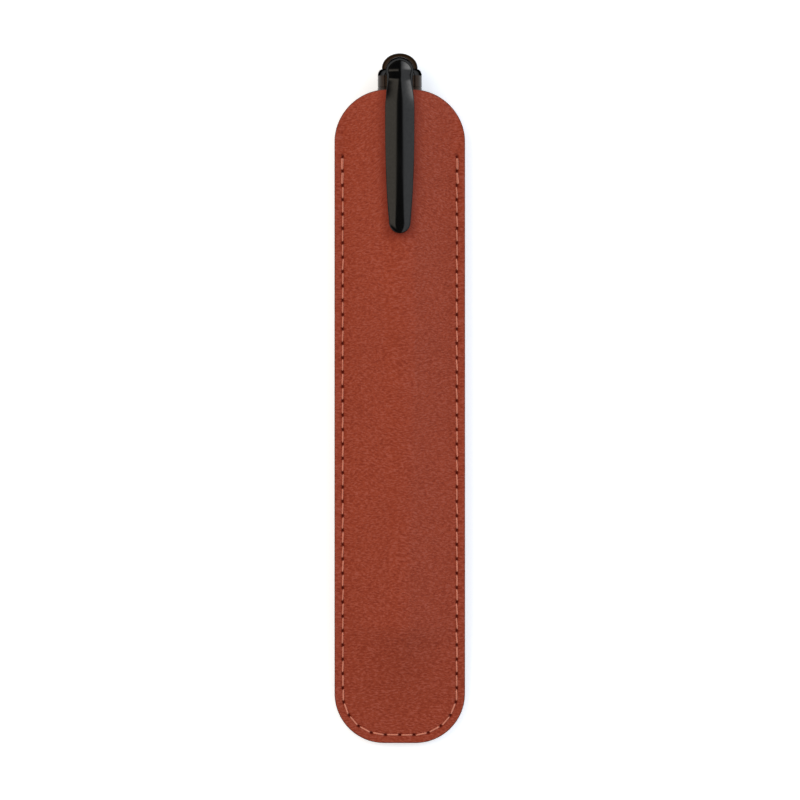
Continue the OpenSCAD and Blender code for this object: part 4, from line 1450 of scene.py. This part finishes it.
class PENSLEEVE_OT_studio(SleeveOperator, bpy.types.Operator):
    """Set the pale floor, the two soft lamps, the studio's fill and the camera"""

    bl_idname = "pen_sleeve.studio"
    bl_label = "Studio"

    # In metres: half the floor's width, its gap under the sleeve, and the lamps' height
    FLOOR_HALF = 4.0
    FLOOR_GAP = 0.00005
    LAMP_H = 0.8
    # In metres: where the lamps lie to the left, to the right and along the sleeve, and the
    # camera's place over it
    LEFT_SPAN = (-1.3, -0.2)
    RIGHT_SPAN = (0.3, 1.3)
    ALONG_SPAN = (-0.05, 0.65)
    CAMERA_AT = (0.00005, 0.0039)
    # How much brighter the right lamp is than the left one
    RIGHT_SHARE = 1.12
    # The paper's own grey, and what it gives off towards the camera and towards gloss
    PAPER = 0.92
    CAMERA_LIFT = 0.4
    GLOSS_LIFT = 0.08
    # What gloss mirrors: a dark room, at its horizon and overhead, and how bright the strip light,
    # the window and the window's far end are in it
    ROOM = ((0.10, 0.09, 0.08), (0.06, 0.06, 0.06))
    STRIP_LEVEL = 1.05
    WINDOW_LEVEL = 0.95
    WINDOW_END = 4.2

    def floor(self):
        """Pale paper that gives off some light towards the camera, and a little towards gloss."""
        half, z = self.FLOOR_HALF / MM, -self.FLOOR_GAP / MM
        paper = Finish("studio_floor", Roughness=1.0, Specular_IOR_Level=0.0)
        paper.set("Base Color", 3 * (self.PAPER,))
        seen = paper.add("ShaderNodeLightPath", (), (), out="Is Camera Ray")
        mirrored = paper.maths("MAXIMUM", seen.out("Is Glossy Ray"),
                               seen.out("Is Transmission Ray"))
        lift = paper.blend(mirrored, (0.0, 0.0, 0.0), 3 * (self.GLOSS_LIFT,))
        paper.set("Emission Color", paper.blend(seen, lift, 3 * (self.CAMERA_LIFT,)))
        paper.set("Emission Strength", 1.0)
        floor = mesh_object("studio_floor", [(-half, -half, z), (half, -half, z), (half, half, z),
                                             (-half, half, z)], [[0, 1, 2, 3]], paper.material)

    def lamp(self, name, tint, level, x_span):
        """A flat soft box over one side, which is neither seen nor mirrored itself."""
        y_span = self.ALONG_SPAN
        data = bpy.data.lights.new(name, "AREA")
        data.shape = "RECTANGLE"
        data.size, data.size_y = x_span[1] - x_span[0], y_span[1] - y_span[0]
        # The power grows with the area, so that the lamp's face keeps its brightness
        data.energy = level * math.pi * data.size * data.size_y
        data.color = tint
        lamp = placed(name, data)
        lamp.location = (sum(x_span) / 2, sum(y_span) / 2, self.LAMP_H)
        lamp.visible_camera = False
        lamp.visible_glossy = False

    def surroundings(self, studio):
        """White where the camera looks and a dark room for what mirrors it, with fill elsewhere."""
        world = bpy.data.worlds.new("studio")
        world.use_nodes = True
        bpy.context.scene.world = world
        g = Graph(world.node_tree)
        direction = g.add("ShaderNodeTexCoord", (), (), out="Generated")
        right, back, up = g.split(direction)
        seen = g.add("ShaderNodeLightPath", (), (), out="Is Camera Ray")
        mirrored = g.blend(g.step(up, 0.1, 0.5), *self.ROOM)
        # The limits are parts of a direction. The strip light is on the left; the window is on the
        # right, and its far end lies outwards at the back
        high = g.step(up, 0.08, 0.25)
        strip = g.step(right, -0.09, -0.17) * g.step(back, -0.3, -0.04) * g.step(back, 0.26, 0.08)
        mirrored = g.blend(strip * high, mirrored, shade(studio.warm, self.STRIP_LEVEL))
        window = g.step(right, 0.09, 0.17) * g.step(back, -1.0, -0.85) * high
        pane = g.blend(g.step(right, 0.1, 0.85) * g.step(back, 0.02, 0.34),
                       shade(studio.cool, self.WINDOW_LEVEL), 3 * (self.WINDOW_END,))
        mirrored = g.blend(window, mirrored, pane)
        light = g.blend(seen.out("Is Glossy Ray"), 3 * (studio.fill_level,), mirrored)
        clear = g.maths("MAXIMUM", seen, seen.out("Is Transmission Ray"))
        light = g.blend(clear, light, (1.0, 1.0, 1.0))
        sky = g.add("ShaderNodeBackground", (), {"Color": light, "Strength": 1.0})
        g.add("ShaderNodeOutputWorld", (), {"Surface": sky})

    def camera(self, studio, edge_h):
        """A long lens straight above; its frame is measured at the height of the sleeve's edge."""
        data = bpy.data.cameras.new("photo_camera")
        data.lens = studio.lens
        data.sensor_width = 36.0
        data.clip_end = 20.0
        camera = placed("photo_camera", data)
        distance = studio.frame_w * studio.lens / data.sensor_width
        camera.location = (*self.CAMERA_AT, edge_h * MM + distance)
        bpy.context.scene.camera = camera

    def execute(self, context):
        studio = context.scene.pen_studio
        m, _, _, _ = self.workshop(context)
        self.floor()
        level = studio.key_level
        self.lamp("left_key", studio.warm, level, self.LEFT_SPAN)
        self.lamp("right_key", studio.sky, self.RIGHT_SHARE * level, self.RIGHT_SPAN)
        self.surroundings(studio)
        self.camera(studio, m.parting_h + m.wall)
        context.scene.view_settings.view_transform = "Standard"
        return {"FINISHED"}


class PENSLEEVE_PT_panel(bpy.types.Panel):
    """Lists the sizes, the colours and the steps of the making"""

    bl_idname = "PENSLEEVE_PT_panel"
    bl_label = "Pen Sleeve"
    bl_space_type = "VIEW_3D"
    bl_region_type = "UI"
    bl_category = "Pen Sleeve"

    def draw(self, context):
        scene = context.scene
        for group in (scene.sleeve_sizes, scene.seam_sizes, scene.pen_sizes,
                      scene.sleeve_colours, scene.pen_studio):
            box = self.layout.box()
            for name in group.__annotations__:
                box.prop(group, name)
        for step in STEPS:
            self.layout.operator(step.bl_idname)


STEPS = (PENSLEEVE_OT_panels, PENSLEEVE_OT_linings, PENSLEEVE_OT_stitches, PENSLEEVE_OT_barrel,
         PENSLEEVE_OT_writing_end, PENSLEEVE_OT_cap, PENSLEEVE_OT_clip, PENSLEEVE_OT_studio)
GROUPS = {"sleeve_sizes": SleeveSizes, "seam_sizes": SeamSizes, "pen_sizes": PenSizes,
          "sleeve_colours": SleeveColours, "pen_studio": StudioSettings}


def register():
    for cls in (*GROUPS.values(), *STEPS, PENSLEEVE_PT_panel):
        bpy.utils.register_class(cls)
    for name, group in GROUPS.items():
        setattr(bpy.types.Scene, name, PointerProperty(type=group))


def unregister():
    for name in GROUPS:
        delattr(bpy.types.Scene, name)
    for cls in (PENSLEEVE_PT_panel, *reversed(STEPS), *reversed(GROUPS.values())):
        bpy.utils.unregister_class(cls)


def main():
    register()
    bpy.ops.pen_sleeve.panels()
    bpy.ops.pen_sleeve.linings()
    bpy.ops.pen_sleeve.stitches()
    bpy.ops.pen_sleeve.barrel()
    bpy.ops.pen_sleeve.writing_end()
    bpy.ops.pen_sleeve.cap()
    bpy.ops.pen_sleeve.clip()
    bpy.ops.pen_sleeve.studio()


if __name__ == "__main__":
    main()
